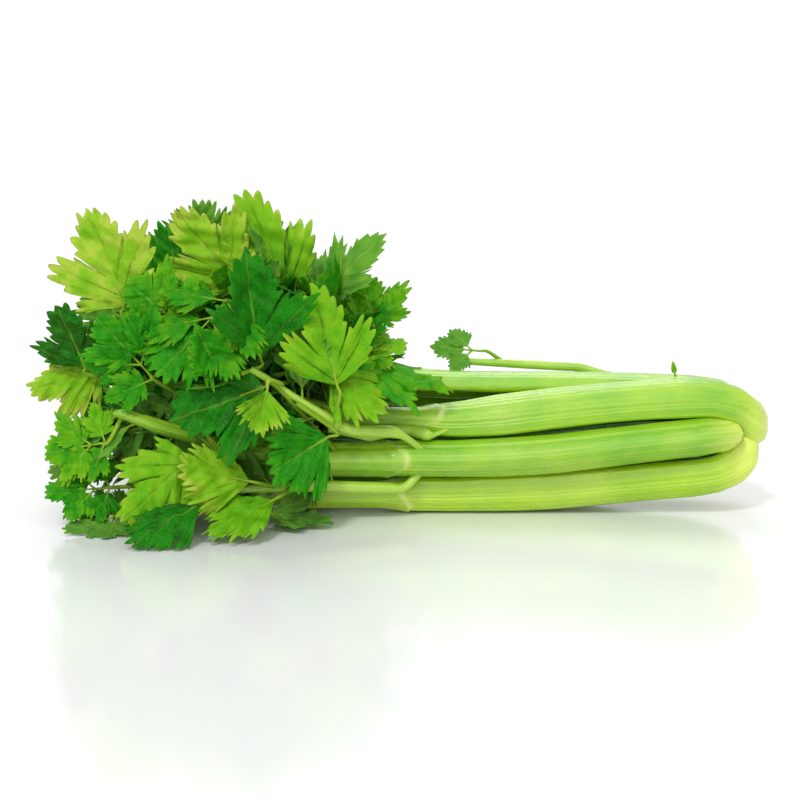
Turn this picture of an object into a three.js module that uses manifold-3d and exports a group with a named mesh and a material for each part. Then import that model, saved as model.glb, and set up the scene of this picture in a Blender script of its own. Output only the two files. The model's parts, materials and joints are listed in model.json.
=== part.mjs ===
// A head of celery lying on its side. The cut butt is at +X and the leaves are at -X.
// Six outer stalks stand in a ring about a solid crown, with inner stalks and a heart between
// them. Every stalk ends in a thinner leaf stem. Side stems and leaves leave those stems.
// Units are millimetres, +Z is up and the head rests on z = 0.
import * as THREE from 'three';
import { LoftGeometry } from 'three/addons/geometries/LoftGeometry.js';
import { mergeVertices } from 'three/addons/utils/BufferGeometryUtils.js';
import Module from 'manifold-3d';

const wasm = await Module();
wasm.setup();
const { Manifold, Mesh } = wasm;

// ---- Driving dimensions ----
const GAP = 0.4; // clear space kept between neighbouring pieces
const BUTT_X = 191; // where the knife cut the head from its root
const CROWN_LENGTH = 44;
const CROWN_RADIUS = 8.5;
const BUTT_CENTRE = { y: 1, z: 41.5 };
const LEAF_THICKNESS = 0.9;
const LEAF_STEM_THICKNESS = 2.2;
const LEAF_STEM_HALF_WIDTH = 1.2;
const KNEE_LENGTH = 5; // from the stem's bend to the foot of the blade
const BEND_COST = 2; // how much longer a stem may grow to leave its parent in the leaf's own direction
const SLIVER = 0.02; // edges shorter than this are merged after a cut
const LOBE_SWEEP = 0.24; // how far a lobe's tip points forward, as a share of its half width
const BOW = 0.06; // how far a blade bows out at its middle, as a share of its length
const BOW_PLACE = 0.55; // where along the blade the bow is greatest
const RIM_THICKNESS = 0.7; // of the thickness on the midrib

// Width across and depth through a stalk at its named places.
const CUT = [18, 12];
const HEEL = [21, 13];
const SHOULDER = [24, 13];
const BODY = [27, 13];
const NECK = [25, 12];
const COLLAR = [23, 13.5];
const RACHIS = [16, 10];
const SLIM_BODY = [26, 12];
const SLIM_NECK = [22, 11.5];
const SLIM_COLLAR = [20, 11.5];
const SLIM_RACHIS = [13.5, 9];
const MIDDLE_BODY = [21, 12.5];
const MIDDLE_NECK = [20, 12];
const MIDDLE_COLLAR = [20.5, 13];
const MIDDLE_RACHIS = [18.5, 11];
const TWIG = [8.5, 7];
const TWIG_END = [5.5, 5];
const INNER = [15, 8];
const INNER_NECK = [11, 7];
const HEART = [10, 8];
const STEM = [7, 6.5];
const RISER = [5.6, 5.2];
const STEM_END = [4, 3.6];

// ---- Colours of the pieces ----
const COLOURS = {
  crown: 0xe9e4c4,
  stalk: 0x9bcb4a,
  inner: 0xc2dc7c,
  stem: 0x86be48,
  leaf: 0x2f8a22,
  pale: 0x8fc04a,
};

// Each row of a route is x, y, z of the section's centre, then the named section.
// facing is the direction of the stalk's outer face in degrees about X: 0 looks at -Y, 90 looks up.
const OUTER_STALKS = [
  {
    name: 'stalk_upper_front',
    facing: [48, 55],
    route: [
      [187, -12.5, 43.5, HEEL], [188.2, -14.5, 49.5, HEEL], [185, -16.5, 56, HEEL],
      [177.5, -18, 61.8, SHOULDER], [166, -18.7, 65.2, SHOULDER], [150, -19, 65.8, BODY],
      [131, -19, 64.4, SLIM_BODY], [105, -18.5, 62.2, SLIM_BODY], [79, -18.5, 59.4, SLIM_BODY],
      [53, -18, 56, SLIM_BODY], [32, -18, 53.5, SLIM_NECK],
      [21, -18, 53, SLIM_COLLAR], [11, -18, 53, SLIM_RACHIS], [-32, -17, 54, SLIM_RACHIS],
      [-62, -20, 64, TWIG], [-92, -26, 82, TWIG_END],
    ],
  },
  {
    name: 'stalk_middle_front',
    facing: [-2, 0],
    route: [
      [179, -19, 44, CUT], [174, -23, 44.5, HEEL], [167, -26.5, 44.2, MIDDLE_NECK],
      [158, -28.5, 43.2, MIDDLE_BODY], [131, -29.5, 40.4, MIDDLE_BODY], [105, -29.5, 37.3, MIDDLE_BODY],
      [79, -29, 34.2, MIDDLE_BODY], [53, -28.5, 32.4, MIDDLE_BODY], [26, -28, 31.6, MIDDLE_NECK],
      [4, -28, 32, MIDDLE_COLLAR], [-6, -28, 31.6, MIDDLE_RACHIS], [-52, -29, 31.6, MIDDLE_RACHIS],
      [-90, -36, 40, TWIG], [-123, -46, 52, TWIG], [-147, -50, 62, TWIG_END],
    ],
  },
  {
    name: 'stalk_lower_front',
    facing: [-36, -36],
    route: [
      [186.5, -12, 39.5, HEEL], [186, -13.5, 34, HEEL], [182.6, -15, 28.5, HEEL],
      [177, -16.5, 23.2, SHOULDER], [169, -17.3, 19.4, SHOULDER],
      [158, -17, 17.2, BODY], [131, -16, 14.6, BODY], [105, -15, 12, BODY],
      [79, -14, 9.6, BODY], [53, -14, 8.6, BODY], [26, -14, 7.8, NECK], [3, -14, 8.8, COLLAR],
      [-7, -15, 8.6, RACHIS], [-50, -18, 9, RACHIS], [-90, -24, 13, TWIG], [-125, -28, 18, TWIG_END],
    ],
  },
  {
    name: 'stalk_lower_back',
    facing: [-125, -116],
    route: [
      [186.5, 12, 38.5, HEEL], [186, 14, 33, HEEL], [182.5, 16, 27.2, HEEL],
      [174, 17.5, 21.8, HEEL], [158, 19, 18.2, SHOULDER], [131, 20, 15.5, BODY],
      [105, 20, 12, BODY], [79, 20, 9.2, BODY],
      [53, 20, 7.3, BODY], [26, 20, 6.6, NECK], [2, 20.5, 7.3, COLLAR], [-8, 21, 7.5, RACHIS],
      [-50, 26, 9.5, RACHIS], [-90, 32, 14, TWIG], [-125, 38, 20, TWIG_END],
    ],
  },
  {
    name: 'stalk_middle_back',
    facing: [175, 172],
    route: [
      [186, 17.5, 43, CUT], [184.5, 22, 44.5, HEEL], [176, 27, 47.5, HEEL],
      [158, 30, 50, SHOULDER], [131, 31, 51, BODY], [105, 32, 51, BODY], [79, 32.5, 51, BODY],
      [53, 33, 51.5, BODY], [26, 33, 52, NECK], [0, 34, 53, COLLAR], [-10, 34, 54, RACHIS],
      [-50, 37, 60, RACHIS], [-90, 41, 76, TWIG], [-120, 43, 92, TWIG_END],
    ],
  },
  {
    name: 'stalk_upper_back',
    facing: [105, 108],
    route: [
      [187, 5, 46, CUT], [186.5, 6, 51, CUT], [182.5, 7.5, 57, CUT],
      [173.5, 9, 61.8, HEEL], [158, 10, 63.8, SHOULDER], [131, 11, 64.6, BODY], [105, 11, 65.3, BODY],
      [79, 11, 65.6, BODY], [53, 11, 65.8, BODY], [26, 11, 66.5, NECK], [5, 11, 67.5, COLLAR],
      [-5, 10, 69, RACHIS],
      [-32, 8, 79, RACHIS], [-60, 4, 96, TWIG], [-86, 1, 120, TWIG_END],
    ],
  },
];

const INNER_STALKS = [
  {
    name: 'inner_stalk_top',
    facing: [80, 80],
    route: [
      [176, -1, 54, INNER], [131, -2, 53.5, INNER], [79, -3, 50.5, INNER],
      [26, -4, 49, INNER_NECK], [-30, -5, 59, TWIG], [-75, -8, 86, TWIG], [-104, -8, 110, TWIG_END],
    ],
  },
  {
    name: 'inner_stalk_front',
    facing: [5, 5],
    route: [
      [176, -10.5, 42, INNER], [131, -12, 42, INNER], [79, -12.5, 38, INNER],
      [26, -12, 36, INNER_NECK], [-40, -12, 40, TWIG], [-90, -17, 56, TWIG],
      [-128, -20, 70, TWIG_END],
    ],
  },
  {
    name: 'inner_stalk_bottom',
    facing: [-90, -90],
    route: [
      [176, 1, 30.5, INNER], [131, 1, 28, INNER], [79, 2, 24.5, INNER],
      [26, 3, 23, INNER_NECK], [-40, 4, 26, TWIG], [-90, 5, 33, TWIG], [-134, 4, 40, TWIG_END],
    ],
  },
  {
    name: 'inner_stalk_back',
    facing: [178, 178],
    route: [
      [176, 13, 42, INNER], [131, 15, 42, INNER], [79, 17, 40, INNER],
      [26, 18, 38, INNER_NECK], [-40, 19, 44, TWIG], [-90, 20, 62, TWIG], [-128, 20, 80, TWIG_END],
    ],
  },
  {
    name: 'heart_stalk',
    facing: [60, 60],
    route: [
      [146, 1, 42, HEART], [79, 2, 37.5, HEART], [26, 3, 35, HEART], [-30, 3, 41, TWIG],
      [-80, 2, 54, TWIG], [-128, -2, 62, TWIG_END],
    ],
  },
];

const SIDE_STEMS = [
  {
    name: 'stem_front_branch',
    route: [
      [3, -33, 47, STEM], [-28, -44, 51, STEM], [-51, -50, 67, STEM_END], [-76, -56, 85, STEM_END],
    ],
  },
  {
    name: 'stem_low_branch',
    route: [
      [3, -31, 16.5, STEM], [-47, -37, 19.5, STEM], [-87, -51, 20.5, STEM_END],
      [-108, -62, 19, STEM_END],
    ],
  },
  {
    name: 'stem_under_branch',
    route: [
      [18, -27, 43.5, STEM], [4, -22, 47, STEM], [-16, -27, 44.5, STEM], [-38, -31, 49, STEM_END],
    ],
  },
  {
    name: 'stem_right_riser',
    route: [
      [-37, -15, 64, STEM], [-35, -12, 80, STEM_END], [-37, -10, 98, STEM_END],
      [-43, -8, 114, STEM_END],
    ],
  },
  {
    name: 'stem_back_riser',
    route: [
      [119, 30, 66.5, STEM_END], [100, 35, 71, RISER], [69, 37, 72.4, RISER],
      [30, 36, 74.6, STEM_END],
    ],
  },
];

// Half width of a leaf along its blade, as shares of length and of the widest half width.
const BLADE = [
  [0, 0.07], [0.12, 0.45], [0.24, 0.95], [0.37, 0.5], [0.5, 1], [0.63, 0.52], [0.75, 0.74],
  [0.88, 0.34], [1, 0.04],
];

// name, parent, base of the blade, tip, width, direction the upper face looks, cup in degrees, tone
const LEAVES = [
  ['leaf_top_tall', 'stalk_upper_back', [-58, -5, 103], [-82, 4, 172], 46, [0.2, -1, 0.1], 14, 'pale'],
  ['leaf_dark_folded', 'stem_front_branch', [-80, -59, 89], [-69, -51, 149], 44, [0.4, -1, 0], -34, 'leaf'],
  ['leaf_front_pale', 'stem_front_branch', [-33, -46, 66], [-45, -43, 126], 44, [0.3, -1, 0], 16, 'pale'],
  ['leaf_top_yellow', 'stalk_upper_back',
    [-82, -7, 114], [-118, -13, 164], 48, [-0.1, -1, 0.3], 12, 'pale'],
  ['leaf_front_high', 'inner_stalk_top', [-88, -36, 112], [-124, -60, 82], 44, [-0.4, -1, 0.5], 14, 'leaf'],
  ['leaf_right_cluster', 'stem_right_riser', [-29, -11, 94], [-6, -6, 124], 38, [0, -1, 0.3], -14, 'leaf'],
  ['leaf_right_drape', 'stalk_upper_front', [-29, -31, 79], [29, -29, 69], 32, [0, -0.6, 1], -12, 'leaf'],
  ['leaf_right_droop', 'stalk_upper_front', [-30, -41, 79], [-9, -51, 59], 24, [0.4, -1, 0.4], -10, 'pale'],
  ['leaf_right_upper', 'stem_right_riser', [-27, -16, 86], [4, -16, 92], 26, [0, -0.7, 0.8], -12, 'leaf'],
  ['leaf_back_frond', 'stem_back_riser', [46, 38, 78.5], [17, 40, 82], 15, [0, -1, 0.6], 8, 'leaf'],
  ['leaf_top_left', 'inner_stalk_top', [-143, -14, 108], [-164, -10, 163], 48, [-0.2, -1, 0.1], 16, 'pale'],
  ['leaf_upper_middle', 'inner_stalk_top', [-116, -2, 104], [-125, 4, 154], 38, [0, -1, 0.1], -12, 'leaf'],
  ['leaf_far_left_dark', 'inner_stalk_front',
    [-168, -21, 84], [-180, -26, 114], 26, [-0.2, -1, 0], 10, 'leaf'],
  ['leaf_far_left_pale', 'heart_stalk',
    [-156, -14, 76], [-197, -20, 68], 36, [-0.2, -0.9, 0.5], -12, 'pale'],
  ['leaf_left_middle', 'inner_stalk_front',
    [-128, -43, 78], [-156, -40, 110], 34, [0, -1, 0.2], 12, 'leaf'],
  ['leaf_left_upper', 'inner_stalk_front', [-118, -30, 98], [-139, -26, 132], 34, [0, -1, 0.2], 12, 'leaf'],
  ['leaf_centre_olive', 'stem_front_branch', [-90, -56, 80], [-107, -60, 108], 18, [0, -1, 0], -20, 'leaf'],
  ['leaf_centre_dark', 'stalk_middle_front',
    [-80, -58, 73], [-118, -64, 60], 34, [-0.2, -1, 0.4], 12, 'leaf'],
  ['leaf_bright_small', 'stem_front_branch', [-63, -63, 77], [-77, -72, 55], 24, [0.3, -1, 0], 24, 'pale'],
  ['leaf_fork_veined', 'stem_front_branch', [-51, -54, 58], [-57, -64, 24], 34, [0.2, -1, 0.1], 14, 'leaf'],
  ['leaf_low_fan', 'stem_low_branch', [-73, -59, 27], [-110, -80, 38], 36, [0, -1, 0.5], -10, 'pale'],
  ['leaf_floor_tip', 'stem_low_branch', [-97, -72, 19], [-134, -97, 2], 32, [-0.3, -0.7, 0.8], -10, 'leaf'],
  ['leaf_low_pale', 'stem_low_branch', [-62, -58, 16], [-96, -84, 3], 30, [0, -0.6, 1], 10, 'pale'],
  ['leaf_bottom_left', 'stalk_middle_front',
    [-103, -61, 43], [-141, -74, 8], 44, [-0.3, -1, 0.3], -12, 'pale'],
  ['leaf_left_low_side', 'stalk_middle_front',
    [-150, -44, 52], [-184, -46, 32], 34, [-0.3, -1, 0.3], 12, 'pale'],
  ['leaf_left_low', 'stalk_lower_front', [-154, -44, 18], [-184, -52, 20], 24, [0, -0.8, 0.7], 12, 'leaf'],
  ['leaf_floor_left', 'stalk_lower_front', [-140, -50, 8], [-172, -66, 3], 28, [0, -0.5, 1], -10, 'pale'],
  ['leaf_floor_right', 'stem_low_branch', [-72, -50, 8], [-34, -50, 4], 26, [0, -0.4, 1], -10, 'leaf'],
  ['leaf_end_low', 'inner_stalk_bottom',
    [-150, -6, 34], [-188, -14, 22], 36, [-0.5, -0.6, 0.8], 14, 'leaf'],
  ['leaf_end_middle', 'heart_stalk', [-146, 6, 62], [-186, 8, 84], 36, [-0.7, -0.3, 0.8], 14, 'leaf'],
  ['leaf_end_back', 'stalk_lower_back', [-146, 34, 30], [-186, 36, 26], 36, [-0.6, 0.5, 0.8], 14, 'leaf'],
  ['leaf_back_top', 'stalk_upper_back', [-74, 24, 104], [-84, 40, 158], 44, [0.1, 1, 0.2], 14, 'leaf'],
  ['leaf_back_high', 'stalk_middle_back', [-112, 32, 102], [-132, 40, 150], 42, [0, 1, 0.2], 14, 'pale'],
  ['leaf_back_left', 'inner_stalk_back', [-142, 30, 84], [-174, 36, 118], 40, [-0.3, 1, 0.3], 14, 'leaf'],
  ['leaf_back_far_left', 'inner_stalk_back',
    [-148, 28, 58], [-192, 32, 56], 38, [-0.3, 1, 0.4], 12, 'pale'],
  ['leaf_back_middle', 'stalk_middle_back', [-92, 58, 80], [-124, 74, 96], 42, [0, 1, 0.4], 14, 'leaf'],
  ['leaf_back_right', 'stalk_middle_back', [-46, 46, 82], [-30, 58, 116], 38, [0.2, 1, 0.2], 14, 'leaf'],
  ['leaf_back_centre', 'stalk_middle_back', [-58, 56, 60], [-86, 80, 52], 42, [0, 1, 0.5], 12, 'pale'],
  ['leaf_back_low', 'stalk_lower_back', [-96, 52, 36], [-132, 80, 28], 42, [0, 1, 0.5], 12, 'leaf'],
  ['leaf_back_floor', 'stalk_lower_back', [-66, 46, 14], [-100, 84, 3], 38, [0.2, 0.6, 1], -12, 'leaf'],
  ['leaf_back_drape', 'stalk_lower_back', [-36, 46, 30], [-14, 66, 6], 32, [0.3, 1, 0.5], 12, 'leaf'],
  ['leaf_top_back_left', 'inner_stalk_top', [-104, 12, 118], [-108, 20, 166], 36, [0, 1, 0.2], 12, 'pale'],
  ['leaf_young_tip', 'stalk_upper_front', [147, -3, 76.5], [146, -4, 81], 4, [0, -1, 0.1], 10, 'leaf'],
];

// Turns and lifts tried, in order, until a leaf lies clear of its neighbours.
const ROLLS = [0, 12, -12, 24, -24, 36, -36, 50, -50, 66, -66];
const SWINGS = [0, 5, -5, 10, -10, 16, -16];
const SMALL_OVERLAP = 5; // cubic millimetres that may be cut away instead of turning the leaf

const vec = ([x, y, z]) => new THREE.Vector3(x, y, z);
const radians = (degrees) => THREE.MathUtils.degToRad(degrees);

// A manifold solid from any three.js geometry.
function solidOf(geometry) {
  const bare = new THREE.BufferGeometry();
  bare.setAttribute('position', geometry.getAttribute('position'));
  bare.setIndex(geometry.getIndex());
  const merged = mergeVertices(bare, 1e-3);
  return new Manifold(new Mesh({
    numProp: 3,
    vertProperties: new Float32Array(merged.getAttribute('position').array),
    triVerts: new Uint32Array(merged.getIndex().array),
  }));
}

function geometryOf(solid) {
  const { vertProperties, triVerts } = solid.getMesh();
  const geometry = new THREE.BufferGeometry();
  geometry.setAttribute('position', new THREE.BufferAttribute(vertProperties, 3));
  geometry.setIndex(new THREE.BufferAttribute(triVerts, 1));
  geometry.computeVertexNormals();
  return geometry;
}

function loft(sections) {
  return solidOf(new LoftGeometry(sections, { closed: true, capStart: true, capEnd: true }));
}

// A stalk's section is a crescent: the back is round and the inner face is hollow.
// Each point is [side, out] as shares of the width and the depth.
const CRESCENT = [
  [-0.5, -0.2], [-0.4, -0.5], [-0.14, -0.16], [0.14, -0.16], [0.4, -0.5],
  [0.5, -0.2], [0.34, 0.22], [0.12, 0.5], [-0.12, 0.5], [-0.34, 0.22],
];

// A side stem's section is a plain round one.
const ROUND = [0, 60, 120, 180, 240, 300].map((degrees) => [
  Math.cos(radians(degrees)) / 2,
  Math.sin(radians(degrees)) / 2,
]);

// The direction of travel at one row of a route.
function travelAt(route, row) {
  const before = vec(route[Math.max(row - 1, 0)]);
  const after = vec(route[Math.min(row + 1, route.length - 1)]);
  return after.sub(before).normalize();
}

// The sections of a stalk or stem along its route; grow widens each one all round.
function stalkSections(piece, outline, grow) {
  const [first, last] = piece.facing ?? [0, 0];
  return piece.route.map(([x, y, z, [width, depth]], row) => {
    const along = row / (piece.route.length - 1);
    const angle = radians(THREE.MathUtils.lerp(first, last, along));
    const travel = travelAt(piece.route, row);
    const out = new THREE.Vector3(0, -Math.cos(angle), Math.sin(angle));
    out.addScaledVector(travel, -out.dot(travel)).normalize();
    const side = out.clone().cross(travel);
    return outline.map(([across, through]) => new THREE.Vector3(x, y, z)
      .addScaledVector(side, across * (width + 2 * grow))
      .addScaledVector(out, through * (depth + 2 * grow)));
  });
}

// The largest body that is left after a cut.
function mainBody(solid) {
  const bodies = solid.decompose();
  bodies.sort((a, b) => b.volume() - a.volume());
  return bodies[0].simplify(SLIVER);
}

const group = new THREE.Group();
group.name = 'celery_head';

const placed = [];

function boxesMeet(a, b) {
  return [0, 1, 2].every((axis) => a.min[axis] < b.max[axis] && b.min[axis] < a.max[axis]);
}

// The volume a solid shares with the pieces already placed.
function sharedVolume(solid) {
  const box = solid.boundingBox();
  return placed
    .filter((piece) => boxesMeet(box, piece.box))
    .reduce((sum, piece) => sum + Math.max(solid.intersect(piece.solid).volume(), 0), 0);
}

// Cuts away what the pieces already placed need, with the gap round each of them.
function carve(solid) {
  const box = solid.boundingBox();
  return placed
    .filter((piece) => boxesMeet(box, piece.box))
    .reduce((rest, piece) => rest.subtract(piece.grown), solid);
}

function place(name, solid, grown, colour) {
  placed.push({ name, solid, grown, box: grown.boundingBox() });
  const material = new THREE.MeshStandardMaterial({
    color: COLOURS[colour],
    roughness: 0.5,
    metalness: 0,
  });
  const mesh = new THREE.Mesh(geometryOf(solid), material);
  mesh.name = name;
  group.add(mesh);
}

// ---- The crown: the solid core that every stalk grows from, cut flat at the butt ----
// Each row is the radius and the distance from the cut, as shares of the crown's own.
const CROWN_PROFILE = [[0, 0], [0.97, 0], [1, 0.3], [0.7, 0.75], [0, 1]];
const CROWN_SIDES = 16;

function crownSolid(grow) {
  const profile = CROWN_PROFILE.map(([out, along]) => new THREE.Vector2(
    out * (CROWN_RADIUS + grow),
    along * (CROWN_LENGTH + 2 * grow) - grow,
  ));
  const lathe = new THREE.LatheGeometry(profile, CROWN_SIDES);
  lathe.rotateZ(Math.PI / 2);
  lathe.translate(BUTT_X, BUTT_CENTRE.y, BUTT_CENTRE.z);
  return solidOf(lathe);
}
place('crown', crownSolid(0), crownSolid(GAP), 'crown');

// ---- Stalks and side stems ----
function addStalk(piece, outline, colour) {
  const whole = loft(stalkSections(piece, outline, 0)).trimByPlane([0, 0, 1], 0);
  place(piece.name, mainBody(carve(whole)), loft(stalkSections(piece, outline, GAP)), colour);
}
OUTER_STALKS.forEach((piece) => addStalk(piece, CRESCENT, 'stalk'));
INNER_STALKS.forEach((piece) => addStalk(piece, CRESCENT, 'inner'));
SIDE_STEMS.forEach((piece) => addStalk(piece, ROUND, 'stem'));

// ---- Leaves ----
const PARENTS = new Map([...OUTER_STALKS, ...INNER_STALKS, ...SIDE_STEMS].map((p) => [p.name, p]));

// Where a leaf's stem leaves its parent, just clear of the parent's surface. Of the points along
// the parent it is the one with the shortest, straightest way to the knee behind the blade.
function rootOnParent(parentName, knee, axis) {
  const { route } = PARENTS.get(parentName);
  const cost = (row) => {
    const way = knee.clone().sub(row.point);
    const reach = way.length();
    return reach * (1 + BEND_COST * (1 - way.normalize().dot(axis)));
  };
  const rows = [];
  for (let row = 0; row < route.length - 1; row += 1) {
    for (const share of [0, 0.25, 0.5, 0.75, 1]) {
      rows.push({
        point: vec(route[row]).lerp(vec(route[row + 1]), share),
        radius: THREE.MathUtils.lerp(route[row][3][0], route[row + 1][3][0], share) / 2,
      });
    }
  }
  rows.sort((a, b) => cost(a) - cost(b));
  const [{ point, radius }] = rows;
  const away = knee.clone().sub(point);
  const reach = Math.min(radius + LEAF_STEM_THICKNESS, away.length() - KNEE_LENGTH / 2);
  return point.clone().addScaledVector(away.normalize(), reach);
}

// The solid of one leaf: a thin stem that opens into a lobed blade, bowed and cupped.
function leafSolid({ root, knee, base, tip, axis, width, face, cup }, roll, swing, grow) {
  const upper = face.clone().addScaledVector(axis, -face.dot(axis)).normalize();
  upper.applyAxisAngle(axis, radians(roll));
  const end = tip.clone().addScaledVector(upper, swing);
  const length = end.distanceTo(base);
  const middle = base.clone().lerp(end, BOW_PLACE).addScaledVector(upper, length * BOW);
  const blade = new THREE.QuadraticBezierCurve3(base, middle, end);
  const lift = Math.tan(radians(cup));

  const sectionAt = (point, travel, half, thick) => {
    const out = upper.clone().addScaledVector(travel, -upper.dot(travel)).normalize();
    const side = out.clone().cross(travel);
    const edge = (sign, level) => point.clone()
      .addScaledVector(side, sign * (half + grow))
      .addScaledVector(travel, half * LOBE_SWEEP)
      .addScaledVector(out, half * lift + level * (thick * RIM_THICKNESS + 2 * grow));
    const ridge = (level) => point.clone().addScaledVector(out, level * (thick + 2 * grow));
    return [edge(-1, -0.5), ridge(-0.5), edge(1, -0.5), edge(1, 0.5), ridge(0.5), edge(-1, 0.5)];
  };

  // The stem turns at a knee just behind the blade, half way between its own way and the blade's.
  const leaving = knee.clone().sub(root).normalize();
  const turning = leaving.clone().add(axis).normalize();
  const sections = [
    sectionAt(root, leaving, LEAF_STEM_HALF_WIDTH, LEAF_STEM_THICKNESS),
    sectionAt(knee, turning, LEAF_STEM_HALF_WIDTH, LEAF_STEM_THICKNESS),
  ];
  BLADE.forEach(([along, share]) => {
    const travel = blade.getTangent(along).normalize();
    sections.push(sectionAt(blade.getPoint(along), travel, share * width / 2, LEAF_THICKNESS));
  });
  return loft(sections).trimByPlane([0, 0, 1], 0).simplify(SLIVER);
}

LEAVES.forEach(([name, parent, baseRow, tipRow, width, face, cup, colour]) => {
  const base = vec(baseRow);
  const tip = vec(tipRow);
  const axis = tip.clone().sub(base).normalize();
  const knee = base.clone().addScaledVector(axis, -KNEE_LENGTH);
  const root = rootOnParent(parent, knee, axis);
  const leaf = { root, knee, base, tip, axis, width, face: vec(face), cup };
  let best = null;
  for (const swing of SWINGS) {
    for (const roll of ROLLS) {
      if (best && best.shared < SMALL_OVERLAP) break;
      const shared = sharedVolume(leafSolid(leaf, roll, swing, GAP));
      if (!best || shared < best.shared) best = { shared, roll, swing };
    }
  }
  const solid = leafSolid(leaf, best.roll, best.swing, 0);
  const clear = best.shared > 0 ? mainBody(carve(solid)) : solid;
  place(name, clear, leafSolid(leaf, best.roll, best.swing, GAP), colour);
});

// ---- Put the origin at the middle of the foot of the whole head ----
const bounds = new THREE.Box3().setFromObject(group);
const centre = bounds.getCenter(new THREE.Vector3());
group.position.set(-centre.x, -centre.y, -bounds.min.z);

export default group;
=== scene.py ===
# %% [markdown]
# # A head of celery lying on its side
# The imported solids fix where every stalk, stem and leaf is, and how large it is. They are plain,
# so each one is replaced here by a finished piece that is measured from its solid. The order is
# the stalks, the crown, the side stems, the leaves, the small leaflets along the leaf stems, the
# finishes, and last the studio.

# %% Load the frame
import heapq
import json
import math

import bpy
import numpy as np
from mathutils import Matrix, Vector
from mathutils.bvhtree import BVHTree


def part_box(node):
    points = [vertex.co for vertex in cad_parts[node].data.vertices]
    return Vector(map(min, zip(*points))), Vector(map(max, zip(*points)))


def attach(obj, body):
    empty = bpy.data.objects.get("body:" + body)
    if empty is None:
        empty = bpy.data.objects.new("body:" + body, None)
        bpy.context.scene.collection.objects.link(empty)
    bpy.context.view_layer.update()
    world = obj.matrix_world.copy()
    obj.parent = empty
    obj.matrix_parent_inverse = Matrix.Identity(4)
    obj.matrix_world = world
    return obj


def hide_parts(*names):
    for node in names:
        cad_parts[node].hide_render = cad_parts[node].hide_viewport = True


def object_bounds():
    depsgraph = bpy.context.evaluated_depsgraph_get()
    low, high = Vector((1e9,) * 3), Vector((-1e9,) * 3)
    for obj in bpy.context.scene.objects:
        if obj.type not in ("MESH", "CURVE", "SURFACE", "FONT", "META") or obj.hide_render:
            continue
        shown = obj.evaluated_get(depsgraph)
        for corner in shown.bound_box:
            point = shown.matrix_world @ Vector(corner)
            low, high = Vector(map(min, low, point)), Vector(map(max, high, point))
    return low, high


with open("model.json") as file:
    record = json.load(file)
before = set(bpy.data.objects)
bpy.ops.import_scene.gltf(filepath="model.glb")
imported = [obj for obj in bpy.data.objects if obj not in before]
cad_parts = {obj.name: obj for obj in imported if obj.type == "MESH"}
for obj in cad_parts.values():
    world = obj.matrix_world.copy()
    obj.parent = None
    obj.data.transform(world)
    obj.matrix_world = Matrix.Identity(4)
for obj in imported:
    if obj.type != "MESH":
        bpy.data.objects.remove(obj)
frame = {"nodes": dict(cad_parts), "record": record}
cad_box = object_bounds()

MM = 0.001
nodes = sorted(frame["nodes"])
stalk_names = [name for name in nodes if "stalk_" in name or name == "heart_stalk"]
stem_names = [name for name in nodes if name.startswith("stem_")]
leaf_names = [name for name in nodes if name.startswith("leaf_")]
crown_low, crown_high = (Vector(corner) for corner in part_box("crown"))
core = (crown_low + crown_high) / 2
print("stalks", len(stalk_names), "stems", len(stem_names), "leaves", len(leaf_names))

# %% [markdown]
# Every piece starts as a primitive with nothing else selected, because an operator works on all
# that is selected. A grid is the most useful start for a plant: left flat it becomes a leaf, and
# rolled up round a line it becomes a stalk. Its rows and columns then say where the tip, the
# margin and the ribs are, so the same numbers can drive the shape and the colour.

# %% A grid that knows its rows and columns
def select_only(piece):
    bpy.ops.object.select_all(action="DESELECT")
    piece.select_set(True)
    bpy.context.view_layer.objects.active = piece


def new_grid(name, columns, rows):
    """A grid primitive, with the column and row number of each of its vertices."""
    bpy.ops.object.select_all(action="DESELECT")
    bpy.ops.mesh.primitive_grid_add(x_subdivisions=columns, y_subdivisions=rows, size=2)
    piece = bpy.context.object
    piece.name = piece.data.name = name
    places = points_of(piece.data)
    column = np.rint((places[:, 0] + 1) / 2 * columns).astype(int)
    row = np.rint((places[:, 1] + 1) / 2 * rows).astype(int)
    return piece, column, row


def points_of(mesh):
    places = np.empty(len(mesh.vertices) * 3)
    mesh.vertices.foreach_get("co", places)
    return places.reshape(-1, 3)


def set_points(mesh, places):
    mesh.vertices.foreach_set("co", np.ascontiguousarray(places, dtype=np.float32).ravel())
    mesh.update()


def set_values(mesh, **values):
    """Stores one number per vertex under each name, for the materials to read."""
    for name, numbers in values.items():
        layer = mesh.attributes.new(name, "FLOAT", "POINT")
        layer.data.foreach_set("value", np.broadcast_to(numbers, len(mesh.vertices)).astype(np.float32))


def set_unwrap(mesh, across, along):
    """The UV map in metres: across the piece and along it."""
    corner = np.empty(len(mesh.loops), dtype=int)
    mesh.loops.foreach_get("vertex_index", corner)
    flat = np.stack([across[corner], along[corner]], axis=1)
    mesh.uv_layers[0].data.foreach_set("uv", flat.astype(np.float32).ravel())


def close_up(piece, caps):
    """Merges the vertices that lie on each other, fills the open ends and turns the faces out."""
    select_only(piece)
    bpy.ops.object.mode_set(mode="EDIT")
    bpy.ops.mesh.select_mode(type="VERT")
    bpy.ops.mesh.select_all(action="SELECT")
    bpy.ops.mesh.remove_doubles(threshold=0.01 * MM)
    if caps:
        bpy.ops.mesh.select_all(action="DESELECT")
        bpy.ops.mesh.select_non_manifold()
        bpy.ops.mesh.fill_holes(sides=0)
        bpy.ops.mesh.select_all(action="SELECT")
        bpy.ops.mesh.normals_make_consistent(inside=False)
    bpy.ops.object.mode_set(mode="OBJECT")
    bpy.ops.object.shade_smooth()


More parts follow.
